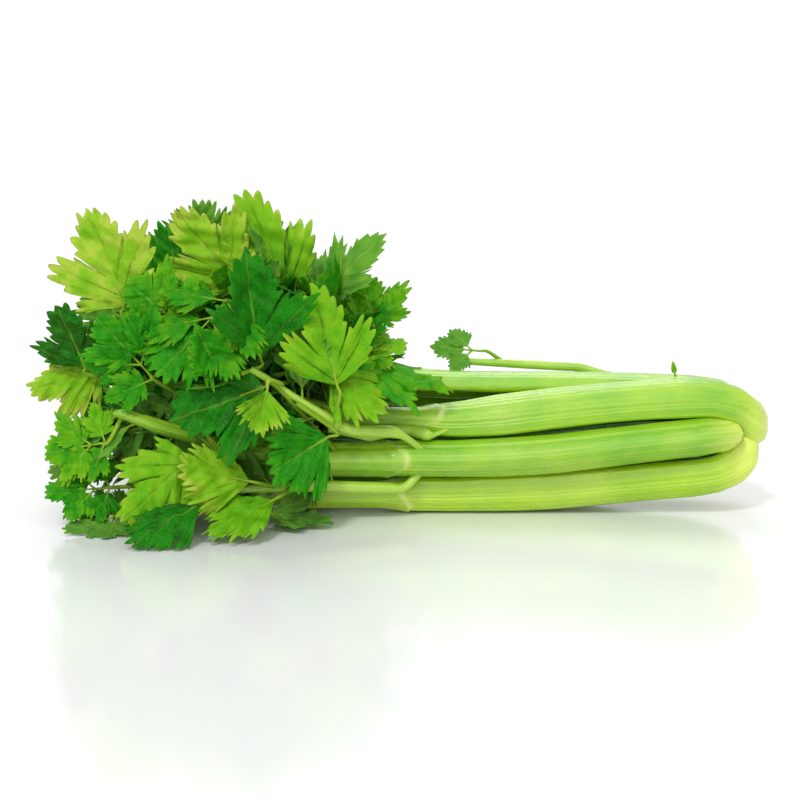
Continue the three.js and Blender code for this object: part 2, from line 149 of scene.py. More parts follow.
def rolled_grid(name, rings, lengthwise, **values):
    """A grid rolled up so that each row of it becomes one ring of the given points."""
    count, around = rings.shape[:2]
    piece, column, row = new_grid(name, around, count - 1)
    wrapped = column % around
    set_points(piece.data, rings[row, wrapped])
    girth = np.linalg.norm(np.diff(rings[count // 2], axis=0), axis=1).sum()
    set_unwrap(piece.data, column / around * girth, lengthwise[row])
    set_values(piece.data, **{key: table[row, wrapped] for key, table in values.items()})
    close_up(piece, caps=True)
    return piece


# %% Helpers for directions and lines
def unit(vector):
    return vector / np.linalg.norm(vector)


def directions(line):
    """The direction of travel at each point of a line."""
    travel = np.gradient(line, axis=0)
    return travel / np.linalg.norm(travel, axis=1)[:, None]


def distances(line):
    """How far along the line each of its points is."""
    return np.concatenate([[0], np.cumsum(np.linalg.norm(np.diff(line, axis=0), axis=1))])


def curve_between(p0, p1, p2, p3, t):
    """Points of the smooth curve from p1 to p2, each at its share t of the way."""
    return 0.5 * (2 * p1 + (p2 - p0) * t + (2 * p0 - 5 * p1 + 4 * p2 - p3) * t**2
                  + (3 * p1 - p0 - 3 * p2 + p3) * t**3)


# %% [markdown]
# ## Measuring a solid
# A stalk's solid is cut by planes across the head. Where each plane meets it gives the middle,
# the width, the depth and the turn of the stalk there. The turn is the one that makes the
# section widest, and it may only change a little from one cut to the next. The outer stalks bend
# in at the butt, so the planes there fan out from a line across the head, like the pages of a
# book, and each still cuts its stalk square.

# %% Cut a solid across the head
def solid_of(name):
    """The merged corners of a CAD solid, and its triangles."""
    mesh = frame["nodes"][name].data
    mesh.calc_loop_triangles()
    corners = np.empty(len(mesh.loop_triangles) * 3, dtype=int)
    mesh.loop_triangles.foreach_get("vertices", corners)
    places, merged = np.unique(points_of(mesh).round(6), axis=0, return_inverse=True)
    return places, merged.ravel()[corners].reshape(-1, 3)


class Bend:
    """How a stalk turns in towards the crown: planes that fan out from a line across the head."""

    def __init__(self, butt_x, near_y, near_z):
        away = np.array([near_y - core.y, near_z - core.z])
        self.axis = int(abs(away[1]) > abs(away[0]))  # 0 bends in plan, 1 bends up or down
        self.sign = float(np.sign(away[self.axis]))
        line = (core.y, core.z)[self.axis] + self.sign * FAN_OFFSET
        self.pivot = np.array([butt_x - FAN_REACH, line])

    def flatten(self, places, lean):
        """Places as seen from a plane that leans towards the butt: (height off the plane, y, z)."""
        way = np.array([math.sin(lean), self.sign * math.cos(lean)])
        reach = places[:, [0, 1 + self.axis]] - self.pivot
        flat = places.copy()
        flat[:, 0] = reach @ [way[1] * self.sign, -way[0] * self.sign]
        flat[:, 1 + self.axis] = self.pivot[1] + self.sign * (reach @ way)
        return flat

    def unflatten(self, y, z, x, lean):
        """The place in the head of a point on a plane. x counts only where the plane is upright."""
        out = self.sign * ((y, z)[self.axis] - self.pivot[1])
        leans = np.broadcast_to(lean, out.shape)
        bent = np.stack([np.broadcast_to(x, out.shape), y, z], axis=-1)
        bent[..., 0] = np.where(leans > 0, self.pivot[0] + out * np.sin(leans), bent[..., 0])
        turned_in = self.pivot[1] + self.sign * out * np.cos(leans)
        bent[..., 1 + self.axis] = np.where(leans > 0, turned_in, bent[..., 1 + self.axis])
        return bent


def cut_points(places, faces, height=0.0):
    """Where the edges of a solid cross a plane of constant first coordinate, as (y, z)."""
    starts = places[faces].reshape(-1, 3)
    ends = places[np.roll(faces, -1, axis=1)].reshape(-1, 3)
    crosses = (starts[:, 0] - height) * (ends[:, 0] - height) < 0
    starts, ends = starts[crosses], ends[crosses]
    share = (height - starts[:, 0]) / (ends[:, 0] - starts[:, 0])
    return (starts + (ends - starts) * share[:, None])[:, 1:]


def measure_cut(section, turns, before):
    """(middle y, middle z, width, depth, turn) of one section, for the best of the given turns."""
    best = None
    for turn in turns:
        out = np.array([math.cos(turn), math.sin(turn)])
        side = np.array([-out[1], out[0]])
        across, through = section @ side, section @ out
        width, depth = np.ptp(across), np.ptp(through)
        score = width - depth - TURN_COST * abs(turn - before)
        if best is None or score > best[0]:
            middle = side * (across.max() + across.min()) / 2
            middle = middle + out * (through.max() + through.min()) / 2
            best = (score, [*middle, width, depth, turn])
    return best[1]


STALK_TONES = {
    "stalk_upper_front": 0.5, "stalk_middle_front": 0.25, "stalk_lower_front": 0.9,
    "stalk_lower_back": 0.6, "stalk_middle_back": 0.1, "stalk_upper_back": 0.3,
}  # how pale each outer stalk is; these are also the ones that bend in at the butt
X, WIDTH, DEPTH, TURN, LEAN, WALKED = 0, 3, 4, 5, 6, 7  # columns of a stalk's table
BODY_STEP = 4 * MM
LEAN_STEP, MOST_LEAN = math.radians(5), math.radians(85)
FAN_REACH = 26 * MM  # from the butt back to the line that the leaning planes share
FAN_OFFSET = 2.5 * MM  # from the middle of the head out to that line
BUTT_PART = 40 * MM  # the length whose middle says which way a stalk bends
END_GAP = 0.4 * MM  # how far inside the end of a solid its last cut is
FEWEST_POINTS = 8  # a cut with no more points than this has only touched a corner
TURN_COST = 0.03  # what a turn of one radian costs, in metres of width
FIRST_TURNS = np.radians(np.arange(-40, 41, 2))
NEXT_TURNS = np.radians([-3, -2, -1, 0, 1, 2, 3])
FIRST_CUTS, WHOLE_SHARE = 12, 0.6  # cuts near the butt with less of a section are left out


def measure_stalk(name):
    """The stalk's bend, and one row for each cut from the butt to the leaf end:
    x, middle y and z, width, depth, turn, lean of the plane, distance walked."""
    places, faces = solid_of(name)
    high = places[:, 0].max()
    near = places[places[:, 0] > high - BUTT_PART].mean(axis=0)
    bend = Bend(high, near[1], near[2])
    low = places[:, 0].min() + END_GAP
    start, cuts = high - END_GAP, []
    if name in STALK_TONES:
        start = bend.pivot[0]
        cuts = [(start, lean) for lean in np.arange(MOST_LEAN, 0, -LEAN_STEP)]
    cuts += [(x, 0.0) for x in [*np.arange(start, low, -BODY_STEP), low]]
    sections = []
    for x, lean in cuts:
        if lean > 0:
            section = cut_points(bend.flatten(places, lean), faces)
            section = section[bend.sign * (section[:, bend.axis] - bend.pivot[1]) > 0]
        else:
            section = cut_points(places, faces, x)
        if len(section) > FEWEST_POINTS:
            sections.append((x, lean, section))
    upright = next(k for k, (x, lean, section) in enumerate(sections) if lean == 0)
    middle = sections[upright][2].mean(axis=0) - [core.y, core.z]
    facing = math.atan2(middle[1], middle[0])
    facing = measure_cut(sections[upright][2], facing + FIRST_TURNS, facing)[-1]
    rows = {}
    for order in (range(upright, len(sections)), range(upright - 1, -1, -1)):
        before = facing
        for k in order:
            x, lean, section = sections[k]
            rows[k] = [x, *measure_cut(section, before + NEXT_TURNS, before), lean]
            before = rows[k][TURN]
    table = np.array([rows[k] for k in range(len(sections))])
    whole = np.median(table[:FIRST_CUTS, WIDTH] * table[:FIRST_CUTS, DEPTH])
    while table[0, WIDTH] * table[0, DEPTH] < WHOLE_SHARE * whole and table[0, LEAN] > 0:
        table = table[1:]
    smooth = table.copy()
    smooth[1:-1, 1:LEAN] = (table[:-2, 1:LEAN] + 2 * table[1:-1, 1:LEAN] + table[2:, 1:LEAN]) / 4
    middles = bend.unflatten(smooth[:, 1], smooth[:, 2], smooth[:, X], smooth[:, LEAN])
    return bend, np.column_stack([smooth, distances(middles)])


stalks = {name: measure_stalk(name) for name in stalk_names}
for name, (bend, table) in stalks.items():
    print(name, "cuts", len(table), "widest", round(table[:, WIDTH].max() / MM, 1), "mm")

# %% [markdown]
# ## Stalks
# A stalk is crescent-shaped: a round ribbed back, a hollow inner face and two thin lips. It
# could be extruded ring by ring, but a rolled grid makes the ribs simple, since each column of
# the grid runs along the stalk. The ribs are strings under the skin, 2 or 3 mm apart, and they
# are real ridges here, so that wet highlights break up on them. Where the first leaf stems
# leave, an outer stalk swells into a collar and steps down to a thinner leaf stem.

# %% Roll up a ribbed stalk
CRESCENT = np.array([
    [-0.5, -0.2], [-0.4, -0.5], [-0.14, -0.16], [0.14, -0.16], [0.4, -0.5],
    [0.5, -0.2], [0.34, 0.22], [0.12, 0.5], [-0.12, 0.5], [-0.34, 0.22],
])
FLATTER = np.array([1, 0.6])  # a stalk is about this deep for its width
AROUND = 168
RIB_SPACING, RIB_HEIGHT = 2.6 * MM, 0.42 * MM


def smooth_loop(corners, count):
    """Points spread along a smooth closed curve through the given corners."""
    share = np.arange(count) / count * len(corners)
    corner = share.astype(int)
    t = (share - corner)[:, None]
    return curve_between(*(corners[(corner + step) % len(corners)] for step in (-1, 0, 1, 2)), t)


def stalk_outline():
    """The crescent with most of its points on the ribbed back, and each point's distance from the
    middle of the back as a share of the way round."""
    fine = smooth_loop(CRESCENT * FLATTER, 3000)
    on_back = np.clip((fine[:, 1] + 0.15) / 0.2, 0, 1)
    length = np.linalg.norm(np.roll(fine, -1, axis=0) - fine, axis=1)
    whole = np.cumsum(length)
    spread = np.cumsum(length * (1 + 1.8 * on_back))
    pick = np.searchsorted(spread, np.arange(AROUND) / AROUND * spread[-1])
    middle = whole[np.argmax(fine[:, 1] - np.abs(fine[:, 0]))] / whole[-1]
    arc = (whole[pick] / whole[-1] - middle + 0.5) % 1 - 0.5
    return fine[pick] / FLATTER, arc


OUTLINE, ARC = stalk_outline()
tangent = (np.roll(OUTLINE, -1, axis=0) - np.roll(OUTLINE, 1, axis=0)) * FLATTER
OUTLINE_NORMAL = np.stack([tangent[:, 1], -tangent[:, 0]], axis=1)
OUTLINE_NORMAL /= np.linalg.norm(OUTLINE_NORMAL, axis=1)[:, None]
if (OUTLINE_NORMAL * OUTLINE).sum() < 0:
    OUTLINE_NORMAL = -OUTLINE_NORMAL
BACK = np.clip((0.27 - np.abs(ARC)) / 0.06, 0, 1)


def smooth_step(value):
    value = np.clip(value, 0, 1)
    return value * value * (3 - 2 * value)


COLLARS_FROM, COLLARS_TO = -0.03, 0.06
EXTRA_REACH, EXTRA_STEP, LEAST_STEP = 14 * MM, 0.8 * MM, 0.2 * MM
CUT_ROUNDING, CUT_DRAWN_IN = 3 * MM, 0.16


def collar_place(table):
    """The x at which the stalk narrows fastest, where its first leaf stems leave it."""
    narrowing = np.gradient(table[:, WIDTH], table[:, X])
    inside = (table[:, X] > COLLARS_FROM) & (table[:, X] < COLLARS_TO)
    return table[np.argmax(np.where(inside, narrowing, -1)), X]


def finer_near(table, x):
    """The table with extra rows near x, so that the collar's edge is crisp."""
    middle = np.interp(-x, -table[:, X], table[:, WALKED])
    extra = np.arange(middle - EXTRA_REACH, middle + EXTRA_REACH, EXTRA_STEP)
    walked = np.sort(np.concatenate([table[:, WALKED], extra]))
    walked = walked[np.concatenate([[True], np.diff(walked) > LEAST_STEP])]
    return np.stack([np.interp(walked, table[:, WALKED], column) for column in table.T], axis=1)


def rounded_end(table):
    """A share that pulls the first rings in, so that the cut edge is soft."""
    depth = table[:, WALKED] / CUT_ROUNDING
    return 1 - CUT_DRAWN_IN * np.clip(1 - depth, 0, 1) ** 2


FACETS = 11  # flat strips that a whole turn of a stalk would have
NOSE = 9 * MM  # how far the middle of the collar reaches towards the butt
SWELLING, SWELLING_LENGTH = 1.1 * MM, 14 * MM
LIP, LIP_LENGTH = 0.35 * MM, 1.6 * MM
DENTS, FLATS = 0.2 * MM, 0.3 * MM
ABOVE_FLOOR = 0.05 * MM


def build_stalk(name, bend, table, seed, collared, tone):
    """A ribbed stalk with a cut butt end, and with a collar where collared is true."""
    rng = np.random.default_rng(seed)
    collar_x = collar_place(table) if collared else table[0, X] + 1
    if collared:
        table = finer_near(table, collar_x)
    x, y, z, width, depth, turn, lean, walked = table.T
    out = np.stack([np.cos(turn), np.sin(turn)], axis=1)
    side = np.stack([-out[:, 1], out[:, 0]], axis=1)
    end = rounded_end(table)
    across = OUTLINE[None, :, 0] * (width * end)[:, None]
    through = OUTLINE[None, :, 1] * (depth * end)[:, None]

    edge = collar_x - 2 * MM + NOSE * np.clip(1 - (ARC / 0.2) ** 2, 0, 1)
    past = edge[None, :] - x[:, None]
    beyond = smooth_step(past / (1.2 * MM))
    swell = beyond * np.exp(-np.clip(past, 0, None) / SWELLING_LENGTH)
    lip = np.exp(-((past / LIP_LENGTH) ** 2))
    if not collared:
        beyond, swell, lip = (np.zeros_like(past) for _ in range(3))

    girth = 1.6 * width.max() + 1.2 * depth.max()
    ribs = np.round(girth / RIB_SPACING)
    phase = rng.uniform(0, 2 * math.pi, 5)
    drift = 0.25 * np.sin(walked / 0.06 + phase[0])
    uneven = ARC + 0.006 * np.sin(ARC * 38 + phase[3]) + 0.004 * np.sin(ARC * 61 + phase[4])
    strength = 0.6 + 0.4 * np.sin(ARC * 44 + phase[1])
    near_collar = np.exp(-np.clip(-past, 0, None) / (28 * MM))
    ridge = (0.5 + 0.5 * np.cos(2 * math.pi * uneven[None, :] * ribs + drift[:, None])) ** 1.6
    ridge = ridge * strength[None, :] * (0.45 + 0.65 * near_collar)
    facet = (0.5 + 0.5 * np.cos(2 * math.pi * ARC[None, :] * FACETS)) ** 0.7
    ridge = (ridge * (1 - 0.8 * beyond) + 0.5 * facet * beyond) * BACK[None, :]
    ridge = ridge * (1 - 0.8 * lip)
    dents = np.sin(walked / 0.021 + phase[1])[:, None] * np.sin(ARC[None, :] * 14 + phase[2])
    lift = RIB_HEIGHT * (ridge - 0.5) + DENTS * dents + SWELLING * swell + LIP * lip
    lift += FLATS * (facet - 0.5) * BACK[None, :] * (1 - beyond)
    across = across + OUTLINE_NORMAL[None, :, 0] * lift
    through = through + OUTLINE_NORMAL[None, :, 1] * lift

    flat = (np.stack([y, z], axis=1)[:, None, :] + across[..., None] * side[:, None, :]
            + through[..., None] * out[:, None, :])
    rings = bend.unflatten(flat[..., 0], flat[..., 1], x[:, None], lean[:, None])
    rings[..., 2] = np.maximum(rings[..., 2], ABOVE_FLOOR)
    return rolled_grid(name, rings, walked, ridge=ridge, collar=lip,
                       back=BACK[None, :] + 0 * lip, tone=tone + 0 * lip)


INNER_TONE = 0.4
stalk_pieces = {}
for number, (name, (bend, table)) in enumerate(stalks.items()):
    stalk_pieces[name] = build_stalk("ribbed_" + name, bend, table, number, name in STALK_TONES,
                                     STALK_TONES.get(name, INNER_TONE))
print("stalk faces", sum(len(piece.data.polygons) for piece in stalk_pieces.values()))

# %% [markdown]
# ## The crown
# All the stalks grow out of one pale solid core. On a cut head it shows as a rough disc between
# the stalk bases. A cylinder is added along the head's length, its cut face is inset twice and
# drawn in a little, its edges are bevelled, and the far end is drawn out to a point.

# %% Shape the crown from a cylinder
CROWN_SIDES = 48
CROWN_SPREAD = 1.75 * (crown_high.y - crown_low.y) / 2  # it reaches the bases of the stalks
CROWN_DEPTH, CROWN_SETBACK = 0.012, 0.0065
CROWN_RINGS = ((0.0016, 0.0005), (0.004, -0.0006), (0.004, 0.0007))  # inset, then push out
CROWN_POINT = ((0.010, 0.6), (0.016, 0.35))  # length, then share of the size that is left


def select_end(piece, axis_sign):
    """Selects the faces that look along X, one way or the other."""
    bpy.ops.object.mode_set(mode="OBJECT")
    for face in piece.data.polygons:
        face.select = face.normal.x * axis_sign > 0.9
    bpy.ops.object.mode_set(mode="EDIT")
    bpy.ops.mesh.select_mode(type="FACE")


bpy.ops.object.select_all(action="DESELECT")
bpy.ops.mesh.primitive_cylinder_add(
    vertices=CROWN_SIDES, radius=CROWN_SPREAD, depth=CROWN_DEPTH,
    location=(crown_high.x - CROWN_SETBACK, core.y, core.z), rotation=(0, math.pi / 2, 0))
crown = bpy.context.object
crown.name = crown.data.name = "crown_core"
bpy.ops.object.transform_apply(location=True, rotation=True, scale=True)
bpy.ops.object.mode_set(mode="EDIT")
bpy.ops.mesh.select_all(action="DESELECT")
select_end(crown, 1)
for inset, push in CROWN_RINGS:
    bpy.ops.mesh.inset(thickness=inset)
    bpy.ops.transform.translate(value=(push, 0, 0))
bpy.ops.mesh.select_all(action="DESELECT")
select_end(crown, -1)
for length, share in CROWN_POINT:
    bpy.ops.mesh.extrude_region_move(TRANSFORM_OT_translate={"value": (-length, 0, 0)})
    bpy.ops.transform.resize(value=(1, share, share))
bpy.ops.object.mode_set(mode="OBJECT")
select_only(crown)
soften = crown.modifiers.new("soften", "BEVEL")
soften.width, soften.segments = 0.8 * MM, 3
bpy.ops.object.modifier_apply(modifier=soften.name)
smooth = crown.modifiers.new("smooth", "SUBSURF")
smooth.levels = smooth.render_levels = 2
bpy.ops.object.modifier_apply(modifier=smooth.name)
bpy.ops.object.shade_smooth()
print("crown faces", len(crown.data.polygons))

# %% [markdown]
# ## Side stems
# A side stem is thin and nearly round, with a shallow groove along its upper side. Its solid
# runs in any direction, so its two ends are found by walking over its own surface, and it is
# then cut by planes square to the straight line between those ends.

# %% Follow a thin solid from end to end
def surface_tree(names):
    places, faces, count = [], [], 0
    for name in names:
        corners, triangles = solid_of(name)
        places += corners.tolist()
        faces += (triangles + count).tolist()
        count += len(corners)
    return BVHTree.FromPolygons(places, faces)


def walk(places, faces, start):
    """The distance along the surface from one corner of a solid to every other."""
    links = [[] for _ in places]
    for a, b in {tuple(sorted((face[i], face[i - 1]))) for face in faces.tolist() for i in range(3)}:
        length = float(np.linalg.norm(places[a] - places[b]))
        links[a].append((b, length))
        links[b].append((a, length))
    reach = np.full(len(places), np.inf)
    reach[start] = 0
    queue = [(0.0, start)]
    while queue:
        so_far, corner = heapq.heappop(queue)
        if so_far > reach[corner]:
            continue
        for other, length in links[corner]:
            if so_far + length < reach[other]:
                reach[other] = so_far + length
                heapq.heappush(queue, (so_far + length, other))
    return reach


def two_ends(places, faces):
    """The two corners that are furthest apart, going along the surface."""
    one = int(np.argmax(walk(places, faces, 0)))
    other = int(np.argmax(walk(places, faces, one)))
    return one, other


def smooth_line(corners, count):
    """Points along a smooth open curve through the given corners."""
    corners = np.array(corners, dtype=float)
    padded = np.vstack([2 * corners[0] - corners[1], corners, 2 * corners[-1] - corners[-2]])
    share = np.linspace(0, len(corners) - 1 - 1e-9, count)
    corner = share.astype(int)
    t = (share - corner)[:, None]
    return curve_between(*(padded[corner + step] for step in range(4)), t)


OFF_AXIS = [0.31, 0.93, 0.17]  # a direction that no stem runs in
GROOVE_WIDTH = 0.5


def tube_rings(line, radii, sides, groove=0.0):
    """Rings round a line, with an upright side that carries the groove."""
    travel = directions(line)
    up = np.cross(travel, OFF_AXIS)
    up /= np.linalg.norm(up, axis=1)[:, None]
    right = np.cross(travel, up)
    angle = np.arange(sides) / sides * 2 * math.pi
    from_groove = np.angle(np.exp(1j * (angle - math.pi / 2)))
    dip = 1 - groove * np.exp(-((from_groove / GROOVE_WIDTH) ** 2))
    ring = (np.cos(angle) * dip)[None, :, None] * right[:, None, :]
    ring = ring + (np.sin(angle) * dip)[None, :, None] * up[:, None, :]
    return line[:, None, :] + ring * np.asarray(radii)[:, None, None]


STEM_CUTS, STEM_RINGS, STEM_SIDES, STEM_RIDGES = 14, 60, 24, 8
STEM_GROOVE = 0.22
ROOT_DEPTH, ROOT_REACH = 4 * MM, 9 * MM  # how far a stem's root is sunk into its stalk, and back
outer_stalks = surface_tree([name for name in stalk_names if name in STALK_TONES])


def build_stem(name):
    """A stem is cut across the straight line between its ends, and a tube follows the middles."""
    places, faces = solid_of(name)
    one, other = two_ends(places, faces)
    if places[one][0] < places[other][0]:
        one, other = other, one
    start = places[one]
    way = unit(places[other] - start)
    up = unit(np.cross(way, OFF_AXIS))
    frame_of_stem = np.stack([way, up, np.cross(way, up)], axis=1)
    local = (places - start) @ frame_of_stem
    low, high = local[:, 0].min(), local[:, 0].max()
    middles, radii = [], []
    for along in np.linspace(low + END_GAP, high - END_GAP, STEM_CUTS):
        section = cut_points(local, faces, along)
        middle = (section.max(axis=0) + section.min(axis=0)) / 2
        middles.append(start + frame_of_stem @ [along, *middle])
        radii.append(math.sqrt(np.ptp(section[:, 0]) * np.ptp(section[:, 1])) / 2)
    near, facing = outer_stalks.find_nearest(Vector(middles[0]))[:2]
    sunk = np.array(near - facing * ROOT_DEPTH) + [ROOT_REACH, 0, 0]
    middles = [sunk, *middles]
    radii = [radii[0] * 1.25, radii[0] * 1.15, *radii[1:]]
    share = np.linspace(0, 1, STEM_CUTS + 1)
    line = smooth_line(middles, STEM_RINGS)
    radius = np.interp(np.linspace(0, 1, STEM_RINGS), share, radii)
    rings = tube_rings(line, radius, STEM_SIDES, STEM_GROOVE)
    ones = np.ones(rings.shape[:2])
    round_way = np.arange(STEM_SIDES) / STEM_SIDES * 2 * math.pi
    ridge = 0.5 + 0.5 * np.cos(round_way * STEM_RIDGES)[None, :] * ones
    piece = rolled_grid("grooved_" + name, rings, distances(line), ridge=ridge, collar=0 * ones,
                        back=ones, tone=0.5 * ones)
    return piece, line


stem_pieces, stem_lines = {}, {}
for name in stem_names:
    stem_pieces[name], stem_lines[name] = build_stem(name)
    print(name, "length", round(distances(stem_lines[name])[-1] / MM), "mm")

# %% [markdown]
# ## Where each leaf is
# A leaf's solid is a thin plate on a stem. The end that lies nearest to a stalk or side stem is
# its root, and the other end is its tip. The middle of its area then gives the foot of the
# blade, and the direction most of its faces look gives the way it faces.

# %% Measure the leaves
branches = surface_tree(stalk_names + stem_names)
BLADE_MIDDLE = 0.53  # from tip to foot, the share at which half of the blade's area is passed
STEM_SHARE = 0.3  # of the way from root to tip, what is surely stem


def measure_leaf(name):
    places, faces = solid_of(name)
    one, other = two_ends(places, faces)
    gaps = [branches.find_nearest(Vector(places[end]))[3] for end in (one, other)]
    root, tip = (one, other) if gaps[0] < gaps[1] else (other, one)
    reach = walk(places, faces, root)
    a, b, c = places[faces].transpose(1, 0, 2)
    cross = np.cross(b - a, c - a)
    area = np.linalg.norm(cross, axis=1) / 2
    on_blade = reach[faces].mean(axis=1) > STEM_SHARE * reach.max()
    weight = (area * on_blade)[:, None]
    middle = ((a + b + c) / 3 * weight).sum(axis=0) / weight.sum()
    facing = cross / np.maximum(np.linalg.norm(cross, axis=1), 1e-12)[:, None]
    spread = (facing * weight).T @ facing
    normal = np.linalg.eigh(spread)[1][:, -1]
    foot = places[tip] + (middle - places[tip]) / BLADE_MIDDLE
    along = places[tip] - foot
    length = np.linalg.norm(along)
    along /= length
    normal = unit(normal - along * (normal @ along))
    outward = middle - np.array([middle[0] + 0.03, core.y, core.z + 0.01])
    if normal @ outward < 0:
        normal = -normal
    side = np.cross(along, normal)
    width = np.ptp((places - foot) @ side)
    return {"root": places[root], "foot": foot, "length": length, "width": width,
            "side": side, "along": along, "normal": normal}


leaves = {name: measure_leaf(name) for name in leaf_names}
for name, pose in leaves.items():
    print(name, "length", round(pose["length"] / MM), "width", round(pose["width"] / MM))

# %% [markdown]
# ## The outline of a leaf
# A celery leaf is a fan of veins. Each vein starts at some place on the midrib, leaves it at an
# angle and ends in a tooth. Listing the teeth of one half, from the foot of the blade to the
# tip, is therefore enough to draw it: start, angle, length, strength of the vein, and how much
# of the length is kept in the notch that follows. A deep notch is the bay between two lobes.

# %% Teeth of four kinds of leaf
THREE_LOBED = [
    (0.00, 62, 0.40, 0.2, 0.90), (0.00, 57, 0.53, 0.3, 0.84), (0.02, 51, 0.64, 0.4, 0.86),
    (0.04, 45, 0.74, 1.0, 0.84), (0.06, 38, 0.68, 0.4, 0.84), (0.08, 31, 0.60, 0.3, 0.42),
    (0.22, 35, 0.44, 0.3, 0.84), (0.31, 30, 0.47, 0.4, 0.84), (0.39, 24, 0.50, 0.5, 0.86),
    (0.46, 15, 0.50, 0.4, 0.86), (0.52, 0, 0.48, 1.0, 1.0),
]
FAN = [
    (0.00, 47, 0.52, 0.3, 0.88), (0.00, 43, 0.68, 0.4, 0.82), (0.01, 38, 0.80, 0.9, 0.82),
    (0.02, 33, 0.78, 0.4, 0.50), (0.06, 28, 0.76, 0.4, 0.84), (0.10, 23, 0.82, 0.8, 0.84),
    (0.14, 18, 0.76, 0.4, 0.66), (0.24, 15, 0.70, 0.4, 0.86), (0.30, 9, 0.72, 0.5, 0.86),
    (0.34, 0, 0.66, 1.0, 1.0),
]
FIVE_LOBED = [
    (0.00, 84, 0.34, 0.2, 0.86), (0.00, 76, 0.46, 0.7, 0.84), (0.01, 68, 0.44, 0.3, 0.50),
    (0.06, 58, 0.56, 0.3, 0.84), (0.08, 50, 0.70, 0.4, 0.84), (0.10, 43, 0.78, 1.0, 0.84),
    (0.13, 36, 0.68, 0.4, 0.84), (0.16, 30, 0.56, 0.3, 0.38), (0.30, 36, 0.42, 0.3, 0.84),
    (0.38, 29, 0.46, 0.5, 0.84), (0.45, 21, 0.46, 0.4, 0.86), (0.52, 11, 0.46, 0.4, 0.86),
    (0.56, 0, 0.44, 1.0, 1.0),
]
NARROW = [
    (0.02, 40, 0.34, 0.2, 0.90), (0.05, 36, 0.44, 0.4, 0.80), (0.14, 32, 0.44, 0.5, 0.80),
    (0.25, 28, 0.44, 0.5, 0.80), (0.36, 23, 0.44, 0.5, 0.82), (0.46, 14, 0.42, 0.5, 0.84),
    (0.54, 0, 0.46, 1.0, 1.0),
]
PATTERNS = {"three": THREE_LOBED, "fan": FAN, "five": FIVE_LOBED, "narrow": NARROW}
TOOTH_ROUNDNESS = 1.7  # above 1 the sides of a tooth are convex
# Grid columns from a tooth to the next notch, and rows from the midrib to the margin, for the
# large end leaflets, the side leaflets, and the small leaflets that fill the head.
FINE, PLAIN_GRID, FILL_GRID = (4, 14), (2, 9), (1, 7)


def half_margin(teeth, rng):
    """Rows of start, angle, length and vein for tooth, notch, tooth and so on, a little uneven."""
    length = np.array([tooth[2] for tooth in teeth]) * (1 + rng.normal(0, 0.045, len(teeth)))
    angle = np.radians([tooth[1] for tooth in teeth]) * (1 + rng.normal(0, 0.02, len(teeth)))
    rows = []
    for place, (start, _, _, vein, kept) in enumerate(teeth):
        rows.append((start, angle[place], length[place], vein))
        if place + 1 < len(teeth):
            after = place + 1
            low = (length[place] + length[after]) / 2 * kept
            start = (start + teeth[after][0]) / 2
            rows.append((start, (angle[place] + angle[after]) / 2, low, 0.0))
    return np.array(rows)


# %% [markdown]
# ## The blade
# The blade is a grid. Its columns are the veins, from one side of the foot round the tip to the
# other side, and its rows go from the midrib to the margin. It is drawn flat first, and then
# given the shape of a living leaf: folded along the midrib, puffed up between the veins, wavy
# at the margin, and curled and twisted along its length.

# %% Draw and bend one blade
blank_blades = {}


def blank_blade(kind, detail):
    """The plain grid for a kind of leaf, made once and copied for every blade of that kind."""
    if (kind, detail) not in blank_blades:
        steps, rows = detail
        columns = 2 * 2 * (len(PATTERNS[kind]) - 1) * steps  # two halves, and tooth then notch
        piece, column, row = new_grid("blank_" + kind, columns, rows)
        blank_blades[kind, detail] = (piece.data.copy(), column / columns, row / rows)
        bpy.data.objects.remove(piece)
    return blank_blades[kind, detail]


def flat_blade(kind, round_share, rim, rng):
    """x, y, vein for every grid vertex of a flat blade of length 1."""
    left, right = half_margin(PATTERNS[kind], rng), half_margin(PATTERNS[kind], rng)
    last = len(left) - 1
    place = (1 - np.abs(round_share * 2 - 1)) * last
    on_left = round_share < 0.5
    ruler = np.arange(last + 1)
    swing = place % 2  # 0 at a tooth, 1 at the notch after it, 2 at the next tooth
    fall = 1 - np.abs(swing - 1)
    bulged = place - swing + np.where(swing < 1, fall**TOOTH_ROUNDNESS, 2 - fall**TOOTH_ROUNDNESS)
    start, angle, vein = (
        np.where(on_left, np.interp(place, ruler, left[:, k]), np.interp(place, ruler, right[:, k]))
        for k in (0, 1, 3))
    length = np.where(on_left, np.interp(bulged, ruler, left[:, 2]),
                      np.interp(bulged, ruler, right[:, 2]))
    reach = rim**0.85
    x = np.where(on_left, -1, 1) * reach * length * np.sin(angle)
    y = start + reach * length * np.cos(angle)
    vein = vein**1.4 * (1 - 0.7 * rim) * np.where(vein < 0.7, np.clip(rim * 1.5, 0, 1), 1)
    vein = np.maximum(vein, np.exp(-((x / 0.018) ** 2)) * (1 - 0.5 * np.clip(y, 0, 1)))
    return x, y, vein


CRUMPLE = 0.026  # height of the broad waves over a blade, as a share of its length


